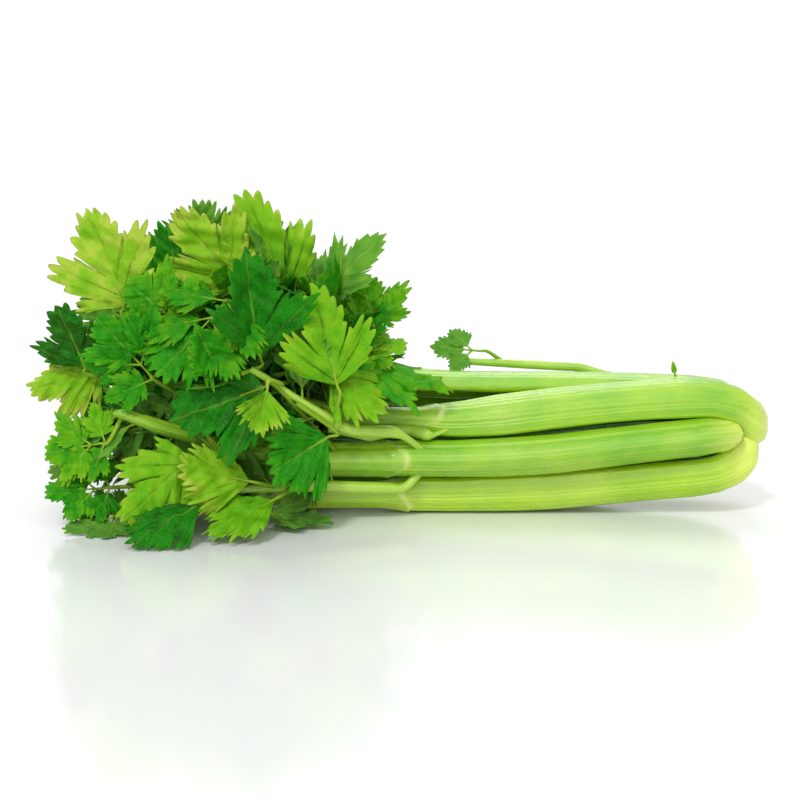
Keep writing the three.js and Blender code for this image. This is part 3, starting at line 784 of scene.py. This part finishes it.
def bend_blade(x, y, vein, rim, round_share, length, width, form, rng):
    """Places in metres: x across, y along, z towards the upper face."""
    spread = np.ptp(x)
    x = x / spread * width
    y = y * length
    away = np.abs(x) / (width / 2)
    z = math.tan(form["fold"]) * (np.sqrt(x**2 + (0.04 * width) ** 2) - 0.04 * width)
    main = np.clip(vein * 2 - 0.5, 0, 1)
    z += form["puff"] * length * 4 * reach_hump(rim) * (1 - main)
    z -= form["puff"] * length * 0.6 * main
    z -= form["droop"] * width * away**2 * 0.5
    phase = rng.uniform(0, 2 * math.pi, 3)
    ripple = np.sin(round_share * 2 * math.pi * form["waves"] + phase[0])
    ripple += 0.6 * np.sin(round_share * 2 * math.pi * form["waves"] * 1.7 + phase[1])
    z += form["ripple"] * length * rim**2.5 * ripple
    wave = 2 * math.pi / length * np.array([2.1, 2.9])
    z += CRUMPLE * length * np.sin(x * wave[0] + phase[2]) * np.sin(y * wave[1] + phase[0])
    z += 0.4 * CRUMPLE * length * np.sin((x + y) * wave[1] * 1.9 + phase[1])
    turn = form["twist"] * (y / length - 0.3)
    x, z = x * np.cos(turn) - z * np.sin(turn), x * np.sin(turn) + z * np.cos(turn)
    curl = form["curl"]
    if abs(curl) > 0.02:
        radius = length / curl
        y, z = (radius - z) * np.sin(y / radius), radius - (radius - z) * np.cos(y / radius)
        lean = math.atan2(radius - radius * math.cos(curl), radius * math.sin(curl))
        y, z = y * math.cos(lean) + z * math.sin(lean), z * math.cos(lean) - y * math.sin(lean)
    return np.stack([x, y, z], axis=1)


def reach_hump(rim):
    return rim * (1 - rim)


def new_blade(name, kind, foot, side, along, normal, length, width, form, tone, rng, detail=PLAIN_GRID):
    """One blade as its own object, not yet thick."""
    blank, round_share, rim = blank_blade(kind, detail)
    mesh = blank.copy()
    x, y, vein = flat_blade(kind, round_share, rim, rng)
    local = bend_blade(x, y, vein, rim, round_share, length, width, form, rng)
    places = foot + local[:, :1] * side + local[:, 1:2] * along + local[:, 2:] * normal
    places[:, 2] = floor_limit(places[:, 2])
    places = np.clip(places, LEAST, MOST)
    set_points(mesh, places)
    offset = rng.uniform(0, 1, 2)
    set_unwrap(mesh, x * width + offset[0], y * length + offset[1])
    set_values(mesh, vein=vein, rim=rim, tone=tone, stem=0.0)
    piece = bpy.data.objects.new(name, mesh)
    bpy.context.collection.objects.link(piece)
    return piece


FLOOR_CLEAR = 0.5 * MM
SPARE = 6 * MM  # how far finished leaves may pass the box of the solids
LEAST, MOST = np.array(cad_box[0]) - SPARE, np.array(cad_box[1]) + SPARE


def floor_limit(z):
    """Leaf heights that go below the floor are pressed onto it, with a soft stop."""
    soft = 3 * MM
    low = np.minimum(z - FLOOR_CLEAR - soft, 0)
    return np.where(z < FLOOR_CLEAR + soft, FLOOR_CLEAR + soft * np.exp(low / soft), z)


# %% [markdown]
# ## Sprays of leaflets
# One leaf is often a spray: an end leaflet and a pair of side leaflets on short stalks. The
# leaves that show on their own are single blades. The stem of a leaf runs from its parent,
# bends at the knee and carries on under the blade as the midrib, thinner and thinner.

# %% Ways a leaf can look
PLAIN = dict(kind="three", leaflets=5, broad=1.2, back=0.0, tone=0.38, fold=14, curl=25, droop=0.12,
             puff=0.014, ripple=0.018, waves=5, twist=12, share=0.72)


def single(kind, tone, fold, curl, **more):
    """A leaf that is one blade."""
    return dict(kind=kind, leaflets=1, tone=tone, fold=fold, curl=curl, **more)


LOOKS = {
    "leaf_top_tall": single("three", 0.74, 16, -18, puff=0.02, ripple=0.02),
    "leaf_top_yellow": single("five", 0.86, 10, 24, ripple=0.03),
    "leaf_dark_folded": single("three", 0.2, 40, 22, droop=0.0, ripple=0.008, back=0.25,
                               broad=1.3),
    "leaf_front_pale": single("three", 0.7, 12, -20, puff=0.022, ripple=0.03),
    "leaf_right_cluster": dict(kind="five", leaflets=3, tone=0.6, fold=-18, curl=30, ripple=0.035),
    "leaf_right_drape": single("five", 0.5, -16, -34, ripple=0.03),
    "leaf_right_droop": single("fan", 0.72, -12, -30, ripple=0.03),
    "leaf_back_frond": dict(kind="narrow", leaflets=3, tone=0.4, fold=6, curl=10),
    "leaf_top_left": single("five", 0.9, 18, 20, ripple=0.03),
    "leaf_far_left_dark": single("three", 0.05, 8, 10, ripple=0.01),
    "leaf_far_left_pale": single("five", 0.85, -10, -25, ripple=0.03),
    "leaf_centre_olive": single("narrow", 0.45, 30, 14),
    "leaf_centre_dark": single("three", 0.15, 14, 20, back=0.15, broad=1.35),
    "leaf_bright_small": single("fan", 0.74, 34, 16),
    "leaf_fork_veined": single("fan", 0.36, 22, 18, back=0.2, broad=1.35),
    "leaf_low_fan": single("fan", 0.8, -8, 20, ripple=0.03),
    "leaf_floor_tip": single("fan", 0.18, -10, -22, ripple=0.012),
    "leaf_low_pale": single("fan", 0.66, 10, -12),
    "leaf_bottom_left": single("five", 0.72, -14, -26, ripple=0.03),
    "leaf_floor_right": single("three", 0.2, -10, -16),
    "leaf_young_tip": single("narrow", 0.85, 30, 30, broad=0.8),
}


def look_of(name, rng):
    """The settings of a leaf, with the angles in radians. Leaves without their own get some chance."""
    look = {**PLAIN, "tone": float(rng.choice([0.15, 0.3, 0.42, 0.55, 0.72])), **LOOKS.get(name, {})}
    if name not in LOOKS:
        look["kind"] = str(rng.choice(["three", "five", "fan"]))
        look["curl"] = float(rng.uniform(-34, 34))
        look["fold"] = float(rng.uniform(-16, 24))
    for angle in ("fold", "curl", "twist"):
        look[angle] = math.radians(look[angle])
    look["twist"] *= float(rng.choice([-1, 1]))
    return look


def leaf_stem(name, corners, thick, thin, tone):
    """A tapering stem with the attributes that a blade has, so that one material serves both."""
    line = smooth_line(corners, 5 * len(corners))
    radii = np.linspace(thick, thin, len(line))
    rings = tube_rings(line, radii, 8)
    rings[..., 2] = np.maximum(rings[..., 2], 0.2 * MM)
    step = np.linspace(0, 0.03, len(line))
    ones = np.ones(rings.shape[:2])
    return rolled_grid(name, rings, step, vein=ones, rim=0 * ones, tone=tone * ones, stem=ones)


BLADE_THICKNESS = 0.32 * MM


def thicken(piece):
    """Gives joined blades their thickness, and marks the lower side for the material."""
    close_up(piece, caps=False)
    sheet_corners = len(piece.data.vertices)
    solid = piece.modifiers.new("thickness", "SOLIDIFY")
    solid.thickness = BLADE_THICKNESS
    solid.offset = 0
    bpy.ops.object.modifier_apply(modifier=solid.name)
    under = np.zeros(len(piece.data.vertices))
    under[sheet_corners:] = 1
    set_values(piece.data, under=under)


def turned(vector, axis, angle):
    """A vector turned about an axis."""
    return (vector * math.cos(angle) + np.cross(axis, vector) * math.sin(angle)
            + axis * (axis @ vector) * (1 - math.cos(angle)))


def join(pieces, name):
    bpy.ops.object.select_all(action="DESELECT")
    for piece in pieces:
        piece.select_set(True)
    bpy.context.view_layer.objects.active = pieces[0]
    bpy.ops.object.join()
    whole = bpy.context.object
    whole.name = whole.data.name = name
    return whole


def whole_leaf(blades, stems, name):
    """Blades and stems as one piece. Only the blades are made thick."""
    whole = join(blades, name)
    thicken(whole)
    for stem in stems:
        set_values(stem.data, under=0.0)
    return join([whole, *stems], name)


SIDE_BROAD = 0.95  # how wide a side leaflet is for its length


def build_leaf(name, pose, look, rng):
    """The blades and stems of one leaf, joined into one piece."""
    foot, along, normal, side = (pose[key] for key in ("foot", "along", "normal", "side"))
    length, width = pose["length"] * (1 + look["back"]), pose["width"]
    foot = foot - along * pose["length"] * look["back"]
    blades, stems = [], []
    end_length, end_foot = length, foot
    if look["leaflets"] > 1:
        end_length = length * look["share"]
        end_foot = foot + along * (length - end_length)
    for number in range(1, look["leaflets"]):
        sign = 1 if number % 2 else -1
        low = number > 2
        swing = sign * math.radians(float(rng.uniform(40, 60)) + 20 * low)
        way = turned(along, normal, -swing)
        tilt = turned(normal, along, sign * float(rng.uniform(-0.2, 0.7)))
        tilt = unit(tilt - way * (tilt @ way))
        start = foot + along * length * (-0.10 if low else 0.14)
        stalk = start + way * length * 0.12
        short = length * float(rng.uniform(0.56, 0.70))
        blades.append(new_blade(name + "_side", look["kind"], stalk, np.cross(way, tilt), way, tilt,
                                short, short * SIDE_BROAD, look,
                                look["tone"] + rng.uniform(-0.1, 0.1), rng))
        stems.append(leaf_stem(name + "_side_stem", [start, stalk, stalk + way * short * 0.3],
                               0.7 * MM, 0.25 * MM, look["tone"]))
    blades.append(new_blade(name + "_end", look["kind"], end_foot, side, along, normal,
                            end_length, width * look["broad"], look, look["tone"], rng, FINE))
    knee = foot - along * 5 * MM
    root = pose["root"] + unit(pose["root"] - knee) * 2 * MM
    stems.append(leaf_stem(name + "_stem", [root, knee, foot, end_foot + along * end_length * 0.25],
                           1.3 * MM, 0.35 * MM, look["tone"]))
    return whole_leaf(blades, stems, "lobed_" + name)


leaf_pieces = {}
for number, (name, pose) in enumerate(leaves.items()):
    chance = np.random.default_rng(100 + number)
    leaf_pieces[name] = build_leaf(name, pose, look_of(name, chance), chance)
print("leaf faces", sum(len(piece.data.polygons) for piece in leaf_pieces.values()))

# %% [markdown]
# ## Leaflets along the leaf stems
# The leaves measured so far are the large ones. Along every leaf stem there are smaller leaflets
# too, in pairs, and they fill the head so that little light comes through it. They are placed in
# a loop: a step along the stem, a turn round it, and a direction that points outwards and on.
# The ones towards the middle of the head are painted darker, as painted shade for the outer leaves' shade.

# %% Pairs of leaflets
FILL_STEP, FILL_START = 6.5 * MM, 4 * MM
FILL_FROM = -0.03  # pairs grow only where x is less than this
FILL_STALK = 7 * MM
FILL_LENGTHS = (28, 44)  # the shortest and longest in mm
FILL_ABOVE = 3 * MM
# painted shade: the leaflets' tone is darkest round this middle and lightens out to this radius
PAINTED_SHADE_MIDDLE, PAINTED_SHADE_RADIUS = 0.075, 0.07  # height and radius of the part that is shaded most
FRONT_LIMIT = core.y - 44 * MM  # the large leaves on this side are left in the open


def leaflet_pairs(name, line, seed):
    """Small leaflets on both sides of one leaf stem, joined into one piece."""
    rng = np.random.default_rng(seed)
    travel, walked = directions(line), distances(line)
    blades, stems = [], []
    for reach in np.arange(FILL_START, walked[-1], FILL_STEP):
        place = np.array([np.interp(reach, walked, line[:, k]) for k in range(3)])
        way_on = travel[min(np.searchsorted(walked, reach), len(line) - 1)]
        round_way = rng.uniform(0, 2 * math.pi)
        out = unit(np.cross(way_on, [0, math.cos(round_way), math.sin(round_way)]))
        for sign in (-1, 1):
            way = way_on * float(rng.uniform(0.35, 0.8)) + out * sign
            way = unit(way + [0, 0, float(rng.uniform(0, 0.35))])
            length = float(rng.uniform(*FILL_LENGTHS)) * MM
            foot = place + way * FILL_STALK
            tip = foot + way * length
            in_box = (tip > LEAST).all() and (tip < MOST).all()
            if not (in_box and tip[1] > FRONT_LIMIT and tip[2] > FILL_ABOVE):
                continue
            normal = rng.normal(0, 0.5, 3) - np.cross(way, np.cross(way_on, way))
            normal = unit(normal - way * (normal @ way))
            # painted shade: leaflets nearer the middle of the head get a darker tone, plus a random spread
            # of their own
            depth = np.hypot(tip[1] - core.y, tip[2] - PAINTED_SHADE_MIDDLE) / PAINTED_SHADE_RADIUS
            tone = 0.05 + 0.35 * np.clip(depth, 0, 1) + float(rng.uniform(-0.05, 0.2))
            form = {**PLAIN, "fold": math.radians(float(rng.uniform(-14, 26))),
                    "curl": math.radians(float(rng.uniform(-40, 40))),
                    "twist": float(rng.uniform(-0.3, 0.3))}
            kind = str(rng.choice(["three", "five", "fan"]))
            blades.append(new_blade(name, kind, foot, np.cross(way, normal), way, normal, length,
                                    length * SIDE_BROAD, form, tone, rng, FILL_GRID))
            stems.append(leaf_stem(name, [place, foot, foot + way * length * 0.3],
                                   0.8 * MM, 0.3 * MM, tone))
    return whole_leaf(blades, stems, "leaflets_" + name) if blades else None


leaflet_pieces = {}
for number, name in enumerate(stalk_names + stem_names):
    middle_line = stalks[name][1][:, :3] if name in stalks else stem_lines[name]
    middle_line = middle_line[middle_line[:, X] < FILL_FROM]
    if len(middle_line) > 3:
        piece = leaflet_pairs(name, middle_line, 500 + number)
        if piece:
            leaflet_pieces[name] = piece
print("leaflet pieces", len(leaflet_pieces), "faces",
      sum(len(piece.data.polygons) for piece in leaflet_pieces.values()))

# %% [markdown]
# ## Finishes
# Each material is built from noise and vein patterns at their real scale. Two effects are used
# by more than one finish, so they are node groups: a mottling that lets one colour drift into
# another, and a vein network. The network's cells are about 2 mm wide, as on a real leaf.

# %% Helpers for nodes
def colour(red, green, blue):
    """A linear colour from the usual 0 to 255 numbers."""
    share = np.array([red, green, blue]) / 255
    linear = np.where(share <= 0.04045, share / 12.92, ((share + 0.055) / 1.055) ** 2.4)
    return (*linear.tolist(), 1.0)


class Tree:
    """A node tree with short ways to add and join its nodes."""

    def __init__(self, tree):
        self.tree = tree

    def add(self, kind, settings=None, **inputs):
        node = self.tree.nodes.new(kind)
        for key, value in (settings or {}).items():
            setattr(node, key, value)
        for key, value in inputs.items():
            self.feed(node.inputs[key.replace("_", " ")], value)
        return node

    def feed(self, socket, value):
        if isinstance(value, bpy.types.NodeSocket):
            self.tree.links.new(value, socket)
        else:
            socket.default_value = value

    def math(self, operation, first, second=0.0, clamp=False):
        node = self.add("ShaderNodeMath", {"operation": operation, "use_clamp": clamp})
        self.feed(node.inputs[0], first)
        self.feed(node.inputs[1], second)
        return node.outputs[0]

    def plus(self, first, second, clamp=False):
        return self.math("ADD", first, second, clamp)

    def times(self, first, second):
        return self.math("MULTIPLY", first, second)

    def fit(self, value, low, high, to_low=0.0, to_high=1.0):
        """A value moved from one range to another, and kept inside it."""
        node = self.add("ShaderNodeMapRange", Value=value, From_Min=low, From_Max=high,
                        To_Min=to_low, To_Max=to_high)
        return node.outputs[0]

    def mix(self, share, first, second, blend="MIX"):
        node = self.add("ShaderNodeMix", {"data_type": "RGBA", "blend_type": blend})
        self.feed(node.inputs[0], share)
        self.feed(node.inputs[6], first)
        self.feed(node.inputs[7], second)
        return node.outputs[2]

    def number(self, name):
        return self.add("ShaderNodeAttribute", {"attribute_name": name}).outputs["Fac"]

    def noise(self, scale, vector, detail=3.0, roughness=0.55):
        node = self.add("ShaderNodeTexNoise", Scale=scale, Detail=detail, Roughness=roughness,
                        Vector=vector)
        return node.outputs[0]

    def place(self):
        return self.add("ShaderNodeTexCoord").outputs["Object"]

    def stretched(self, flat, share):
        """The UV map drawn out lengthwise, for streaks."""
        node = self.add("ShaderNodeMapping", Vector=flat, Scale=(1.0, share, 1.0))
        return node.outputs[0]

    def show(self, shader):
        self.add("ShaderNodeOutputMaterial", Surface=shader.outputs[0])

    def ramp(self, value, *stops):
        node = self.add("ShaderNodeValToRGB", Fac=value)
        for place, shade in stops[2:]:
            node.color_ramp.elements.new(place)
        for element, (place, shade) in zip(node.color_ramp.elements, sorted(stops), strict=True):
            element.position, element.color = place, shade
        return node.outputs[0]


def new_group(name, inputs, outputs):
    """A node group with named sockets. Each is (name, kind) or (name, kind, value)."""
    tree = bpy.data.node_groups.new(name, "ShaderNodeTree")
    for direction, sockets in (("INPUT", inputs), ("OUTPUT", outputs)):
        for label, kind, *value in sockets:
            socket = tree.interface.new_socket(name=label, in_out=direction,
                                               socket_type="NodeSocket" + kind)
            if value:
                socket.default_value = value[0]
    kit = Tree(tree)
    return kit, kit.add("NodeGroupInput").outputs, kit.add("NodeGroupOutput").inputs


# %% The two shared effects
kit, given, result = new_group(
    "mottling",
    [("Vector", "Vector"), ("Patch Size", "Float", 0.01), ("Speck Size", "Float", 0.001)],
    [("Patches", "Float"), ("Specks", "Float")])
per_patch = kit.math("DIVIDE", 1.0, given["Patch Size"])
per_speck = kit.math("DIVIDE", 1.0, given["Speck Size"])
kit.feed(result["Patches"], kit.fit(kit.noise(per_patch, given["Vector"], 4.0), 0.3, 0.7))
kit.feed(result["Specks"], kit.fit(kit.noise(per_speck, given["Vector"], 2.0), 0.25, 0.75))
MOTTLING = kit.tree

kit, given, result = new_group(
    "vein_network",
    [("Vector", "Vector"), ("Cell Size", "Float", 0.002), ("Line Share", "Float", 0.1)],
    [("Lines", "Float"), ("Pillows", "Float")])
bend = kit.add("ShaderNodeTexNoise", Scale=300.0, Vector=given["Vector"])
bent = kit.add("ShaderNodeVectorMath", {"operation": "MULTIPLY_ADD"})
kit.feed(bent.inputs[0], bend.outputs["Color"])
kit.feed(bent.inputs[1], (0.0012, 0.0012, 0.0))
kit.feed(bent.inputs[2], given["Vector"])
cells = kit.add("ShaderNodeTexVoronoi", {"feature": "DISTANCE_TO_EDGE", "voronoi_dimensions": "2D"},
                Vector=bent.outputs[0], Scale=kit.math("DIVIDE", 1.0, given["Cell Size"]))
kit.feed(result["Lines"], kit.math("SUBTRACT", 1.0, kit.fit(cells.outputs[0], 0.0, given["Line Share"])))
kit.feed(result["Pillows"], kit.fit(cells.outputs[0], 0.0, 0.45))
NETWORK = kit.tree


def new_material(name):
    material = bpy.data.materials.new(name)
    material.use_nodes = True
    material.node_tree.nodes.clear()
    return material, Tree(material.node_tree)


def use_group(kit, group, **inputs):
    return kit.add("ShaderNodeGroup", {"node_tree": group}, **inputs).outputs


# %% [markdown]
# A leaf is thin enough to glow when the light is behind it, so a part of its light passes
# through. Its colour comes from the tone of each blade, from deep green to yellow, and drifts in
# patches. The veins are paler than the blade, the rim yellows first, and the underside is pale
# and dull, while the upper side is a little waxy.

# %% Leaf finishes
def leaf_material(name, wax, rim_yellow):
    material, kit = new_material(name)
    flat = kit.add("ShaderNodeUVMap", {"uv_map": "UVMap"}).outputs[0]
    place = kit.place()
    under, stem, vein = kit.number("under"), kit.number("stem"), kit.number("vein")
    rim, tone = kit.number("rim"), kit.number("tone")
    mottling = use_group(kit, MOTTLING, Vector=place, Patch_Size=0.009, Speck_Size=0.0009)
    fine = use_group(kit, NETWORK, Vector=flat, Cell_Size=0.0016, Line_Share=0.1)
    wide = use_group(kit, NETWORK, Vector=flat, Cell_Size=0.0048, Line_Share=0.06)

    shade = kit.plus(tone, kit.fit(mottling["Patches"], 0.0, 1.0, -0.13, 0.13))
    shade = kit.plus(shade, kit.fit(mottling["Specks"], 0.0, 1.0, -0.035, 0.035))
    shade = kit.plus(shade, kit.times(kit.math("POWER", rim, 5.0), rim_yellow))
    blade = kit.ramp(shade, (0.0, colour(0, 78, 3)), (0.22, colour(0, 126, 10)),
                     (0.45, colour(32, 150, 8)), (0.7, colour(112, 186, 16)), (0.9, colour(146, 200, 36)),
                     (1.0, colour(186, 208, 72)))
    lines = kit.math("MAXIMUM", kit.times(wide["Lines"], 0.22),
                     kit.times(fine["Lines"], 0.2))
    lines = kit.math("MAXIMUM", lines, kit.fit(vein, 0.25, 0.95, 0.0, 0.8))
    paler = kit.mix(0.5, blade, colour(190, 220, 96))
    veined = kit.mix(lines, blade, paler)
    lower = kit.mix(0.34, veined, colour(160, 196, 92))
    sided = kit.mix(under, veined, lower)
    brown = kit.times(kit.fit(rim, 0.965, 1.0), kit.fit(mottling["Patches"], 0.62, 0.8))
    edged = kit.mix(kit.times(brown, 0.7), sided, colour(134, 112, 44))
    stalky = kit.ramp(kit.plus(kit.times(tone, 0.5), kit.fit(mottling["Patches"], 0, 1, 0, 0.5)),
                      (0.0, colour(110, 168, 22)), (1.0, colour(186, 210, 72)))
    finish = kit.mix(stem, edged, stalky)

    height = kit.math("SUBTRACT", kit.times(fine["Pillows"], 0.4), kit.times(lines, 0.6))
    sign = kit.fit(under, 0.0, 1.0, 1.0, -1.0)
    bump = kit.add("ShaderNodeBump", Strength=0.55, Distance=0.0004, Height=kit.times(height, sign))
    rough = kit.fit(mottling["Specks"], 0.0, 1.0, wax, wax + 0.16)
    rough = kit.plus(rough, kit.times(under, 0.2))
    skin = kit.add("ShaderNodeBsdfPrincipled", Base_Color=finish, Roughness=rough, Normal=bump.outputs[0],
                   IOR=1.42, Specular_IOR_Level=0.3, Specular_Tint=(0.55, 1.0, 0.4, 1))
    glow = kit.add("ShaderNodeBsdfTranslucent", Color=kit.mix(0.45, finish, colour(170, 220, 30)))
    both = kit.add("ShaderNodeMixShader", Fac=0.3)
    kit.feed(both.inputs[1], skin.outputs[0])
    kit.feed(both.inputs[2], glow.outputs[0])
    kit.show(both)
    return material


FRESH_LEAF = leaf_material("fresh_leaf", 0.36, 0.12)
YELLOWING_LEAF = leaf_material("yellowing_leaf", 0.44, 0.22)


# %% [markdown]
# Stalk skin is yellow-green, wet and glossy, and it is paler at the butt and at the collars.
# Long thin streaks follow the strings. A few scuffs have turned brown. The inner stalks get a
# darker green skin: painted shade for the shade they lie in between the outer stalks.

# %% Stalk finishes
def stalk_material(name, deep, light, root, cream_from, cream_to):
    """deep and light are the two greens it drifts between; root is its colour at the butt."""
    material, kit = new_material(name)
    flat = kit.add("ShaderNodeUVMap", {"uv_map": "UVMap"}).outputs[0]
    place = kit.place()
    ridge, collar, back = kit.number("ridge"), kit.number("collar"), kit.number("back")
    mottling = use_group(kit, MOTTLING, Vector=place, Patch_Size=0.022, Speck_Size=0.0012)
    streaks = use_group(kit, MOTTLING, Vector=kit.stretched(flat, 0.035), Patch_Size=0.0022,
                        Speck_Size=0.0005)
    along = kit.add("ShaderNodeSeparateXYZ", Vector=flat).outputs["Y"]

    share = kit.plus(kit.times(kit.number("tone"), 0.6),
                     kit.fit(mottling["Patches"], 0.0, 1.0, 0.0, 0.4))
    share = kit.plus(share, kit.fit(streaks["Patches"], 0.0, 1.0, -0.18, 0.18), clamp=True)
    body = kit.mix(share, deep, light)
    body = kit.mix(kit.fit(ridge, 0.0, 0.6, 0.0, 0.25), body, kit.mix(0.5, light, colour(216, 230, 120)))
    body = kit.mix(kit.fit(back, 0.0, 1.0, 0.25, 0.0), body, light)
    wobble = kit.plus(along, kit.fit(streaks["Patches"], 0.0, 1.0, -0.006, 0.006))
    body = kit.mix(kit.fit(wobble, cream_from, cream_to, 1.0, 0.0), body, root)
    body = kit.mix(kit.times(collar, 0.62), body, colour(222, 230, 140))
    pale = kit.fit(kit.noise(16.0, place, 2.0, 0.5), 0.52, 0.68)
    body = kit.mix(kit.times(pale, 0.2), body, colour(220, 230, 110))
    spots = kit.fit(kit.noise(90.0, kit.stretched(flat, 0.14), 5.0, 0.7), 0.66, 0.73)
    body = kit.mix(kit.times(spots, 0.55), body, colour(168, 128, 48))
    cut = kit.times(kit.fit(along, 0.0006, 0.0032, 1.0, 0.0), kit.fit(streaks["Patches"], 0.1, 0.6))
    body = kit.mix(kit.times(cut, 0.85), body, colour(158, 112, 58))

    height = kit.plus(kit.times(streaks["Specks"], 0.5),
                      kit.times(mottling["Specks"], 0.3))
    bump = kit.add("ShaderNodeBump", Strength=0.7, Distance=0.0005, Height=height)
    wet = kit.fit(kit.noise(60.0, place, 3.0, 0.6), 0.5, 0.58)
    rough = kit.math("SUBTRACT", kit.fit(mottling["Specks"], 0.0, 1.0, 0.26, 0.42), kit.times(wet, 0.14))
    skin = kit.add("ShaderNodeBsdfPrincipled", Base_Color=body, Roughness=rough, Normal=bump.outputs[0],
                   IOR=1.42, Subsurface_Weight=0.25, Subsurface_Radius=(0.5, 1.0, 0.2),
                   Subsurface_Scale=0.003, Coat_Weight=0.5, Coat_Roughness=0.08)
    kit.show(skin)
    return material


STALK_SKIN = stalk_material("stalk_skin", colour(88, 168, 4), colour(174, 210, 26), colour(212, 226, 96),
                            0.0, 0.022)
# painted shade: the inner stalks' greens are darker to stand in for the shade between the outer stalks
INNER_SHADED_SKIN = stalk_material("inner_painted_shade_skin", colour(24, 120, 10), colour(70, 156, 24), colour(120, 180, 50),
                            0.0, 0.02)
STEM_SKIN = stalk_material("stem_skin", colour(112, 176, 18), colour(172, 206, 54), colour(172, 206, 54),
                           -0.02, -0.01)


# %% [markdown]
# The cut face of the crown is cream, with the darker ends of the vessels as dots in it, and it
# has dried to a light brown in patches.

# %% Crown finish
def crown_material():
    material, kit = new_material("cut_crown")
    place = kit.place()
    mottling = use_group(kit, MOTTLING, Vector=place, Patch_Size=0.008, Speck_Size=0.0008)
    dots = kit.add("ShaderNodeTexVoronoi", {"feature": "F1"}, Vector=place, Scale=520.0)
    body = kit.mix(mottling["Patches"], colour(240, 234, 178), colour(216, 216, 132))
    body = kit.mix(kit.fit(dots.outputs["Distance"], 0.12, 0.24, 0.45, 0.0), body, colour(168, 166, 88))
    body = kit.mix(kit.fit(mottling["Patches"], 0.72, 0.95, 0.0, 0.6), body, colour(176, 132, 74))
    bump = kit.add("ShaderNodeBump", Strength=0.6, Distance=0.0006, Height=mottling["Specks"])
    rough = kit.fit(mottling["Specks"], 0.0, 1.0, 0.45, 0.7)
    skin = kit.add("ShaderNodeBsdfPrincipled", Base_Color=body, Roughness=rough, Normal=bump.outputs[0],
                   IOR=1.4, Subsurface_Weight=0.3, Subsurface_Radius=(1.0, 0.9, 0.4), Subsurface_Scale=0.004)
    kit.show(skin)
    return material


CUT_CROWN = crown_material()


# %% [markdown]
# Each piece now takes its finish, and stands for its plain solid in the frame. The small
# leaflets stand for no solid; they only ride with the rest.

def dress(piece, material, node):
    piece.data.materials.clear()
    piece.data.materials.append(material)
    piece.data.polygons.foreach_set("material_index", [0] * len(piece.data.polygons))
    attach(piece, "root")
    if node:
        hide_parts(node)


slots = {part["node"]: part["material_slot"] for part in frame["record"]["subparts"]}
for name, piece in stalk_pieces.items():
    outer = name.startswith("stalk_")
    dress(piece, STALK_SKIN if outer else INNER_SHADED_SKIN, name)
for name, piece in stem_pieces.items():
    dress(piece, STEM_SKIN, name)
for name, piece in leaf_pieces.items():
    dress(piece, YELLOWING_LEAF if slots[name] == "leaf_pale" else FRESH_LEAF, name)
dress(crown, CUT_CROWN, "crown")
for piece in leaflet_pieces.values():
    dress(piece, FRESH_LEAF, None)

# %% [markdown]
# ## The studio
# The floor is white and a little glossy. One lamp above and in front is small enough to shape
# the stalks, a very wide one fills from the camera's side, and a third lights the leaves from
# behind. The white room is dimmer as a light than it looks, so the shadow on the floor stays soft.

# %% Floor, light and camera
bpy.context.scene.view_settings.view_transform = "Standard"
AIM = Vector((crown_high.x - 0.191, core.y - 0.001, 0.0588))  # near the middle of the head
CAMERA_DISTANCE, CAMERA_ELEVATION = 1.020, math.radians(10)
TO_CAMERA = Vector((0, -math.cos(CAMERA_ELEVATION), math.sin(CAMERA_ELEVATION)))
FLOOR_RADIUS = 9
FLOOR_WHITE = (0.88, 0.88, 0.88, 1)
ROOM_LIGHT = 0.6

bpy.ops.object.select_all(action="DESELECT")
bpy.ops.mesh.primitive_circle_add(vertices=64, radius=FLOOR_RADIUS, fill_type="NGON", location=(0, 0, 0))
floor = bpy.context.object
floor.name = "floor"
material, kit = new_material("studio_floor")
haze = kit.noise(3.0, kit.place(), 2.0)
skin = kit.add("ShaderNodeBsdfPrincipled", Base_Color=FLOOR_WHITE,
               Roughness=kit.fit(haze, 0.3, 0.7, 0.12, 0.16), IOR=1.5, Metallic=0.08)
kit.show(skin)
floor.data.materials.append(material)


def soft_sun(name, towards, width, strength):
    """Even light from one direction. The wider it is, the softer its shadow and highlight."""
    lamp = bpy.data.lights.new(name, "SUN")
    lamp.angle, lamp.energy = math.radians(width), strength
    light = bpy.data.objects.new(name, lamp)
    light.rotation_euler = Vector(towards).to_track_quat("-Z", "Y").to_euler()
    bpy.context.collection.objects.link(light)


soft_sun("key", (0.3, 0.75, -1.0), 9, 1.2)
soft_sun("fill", (-0.1, 1.0, -0.55), 80, 1.1)
soft_sun("rim", (0.05, -0.8, -1.0), 34, 1.0)
world = bpy.data.worlds.new("white_room")
world.use_nodes = True
room = Tree(world.node_tree)
room.tree.nodes.clear()
path = room.add("ShaderNodeLightPath")
seen = room.math("MAXIMUM", path.outputs["Is Camera Ray"], path.outputs["Is Glossy Ray"])
white = room.add("ShaderNodeBackground", Color=(1.0, 1.0, 1.0, 1),
                 Strength=room.fit(seen, 0.0, 1.0, ROOM_LIGHT, 1.0))
room.add("ShaderNodeOutputWorld", Surface=white.outputs[0])
bpy.context.scene.world = world

lens = bpy.data.cameras.new("camera")
lens.lens, lens.sensor_width = 85, 36
camera = bpy.data.objects.new("camera", lens)
camera.location = AIM + CAMERA_DISTANCE * TO_CAMERA
camera.rotation_euler = (AIM - camera.location).to_track_quat("-Z", "Y").to_euler()
bpy.context.collection.objects.link(camera)
bpy.context.scene.camera = camera
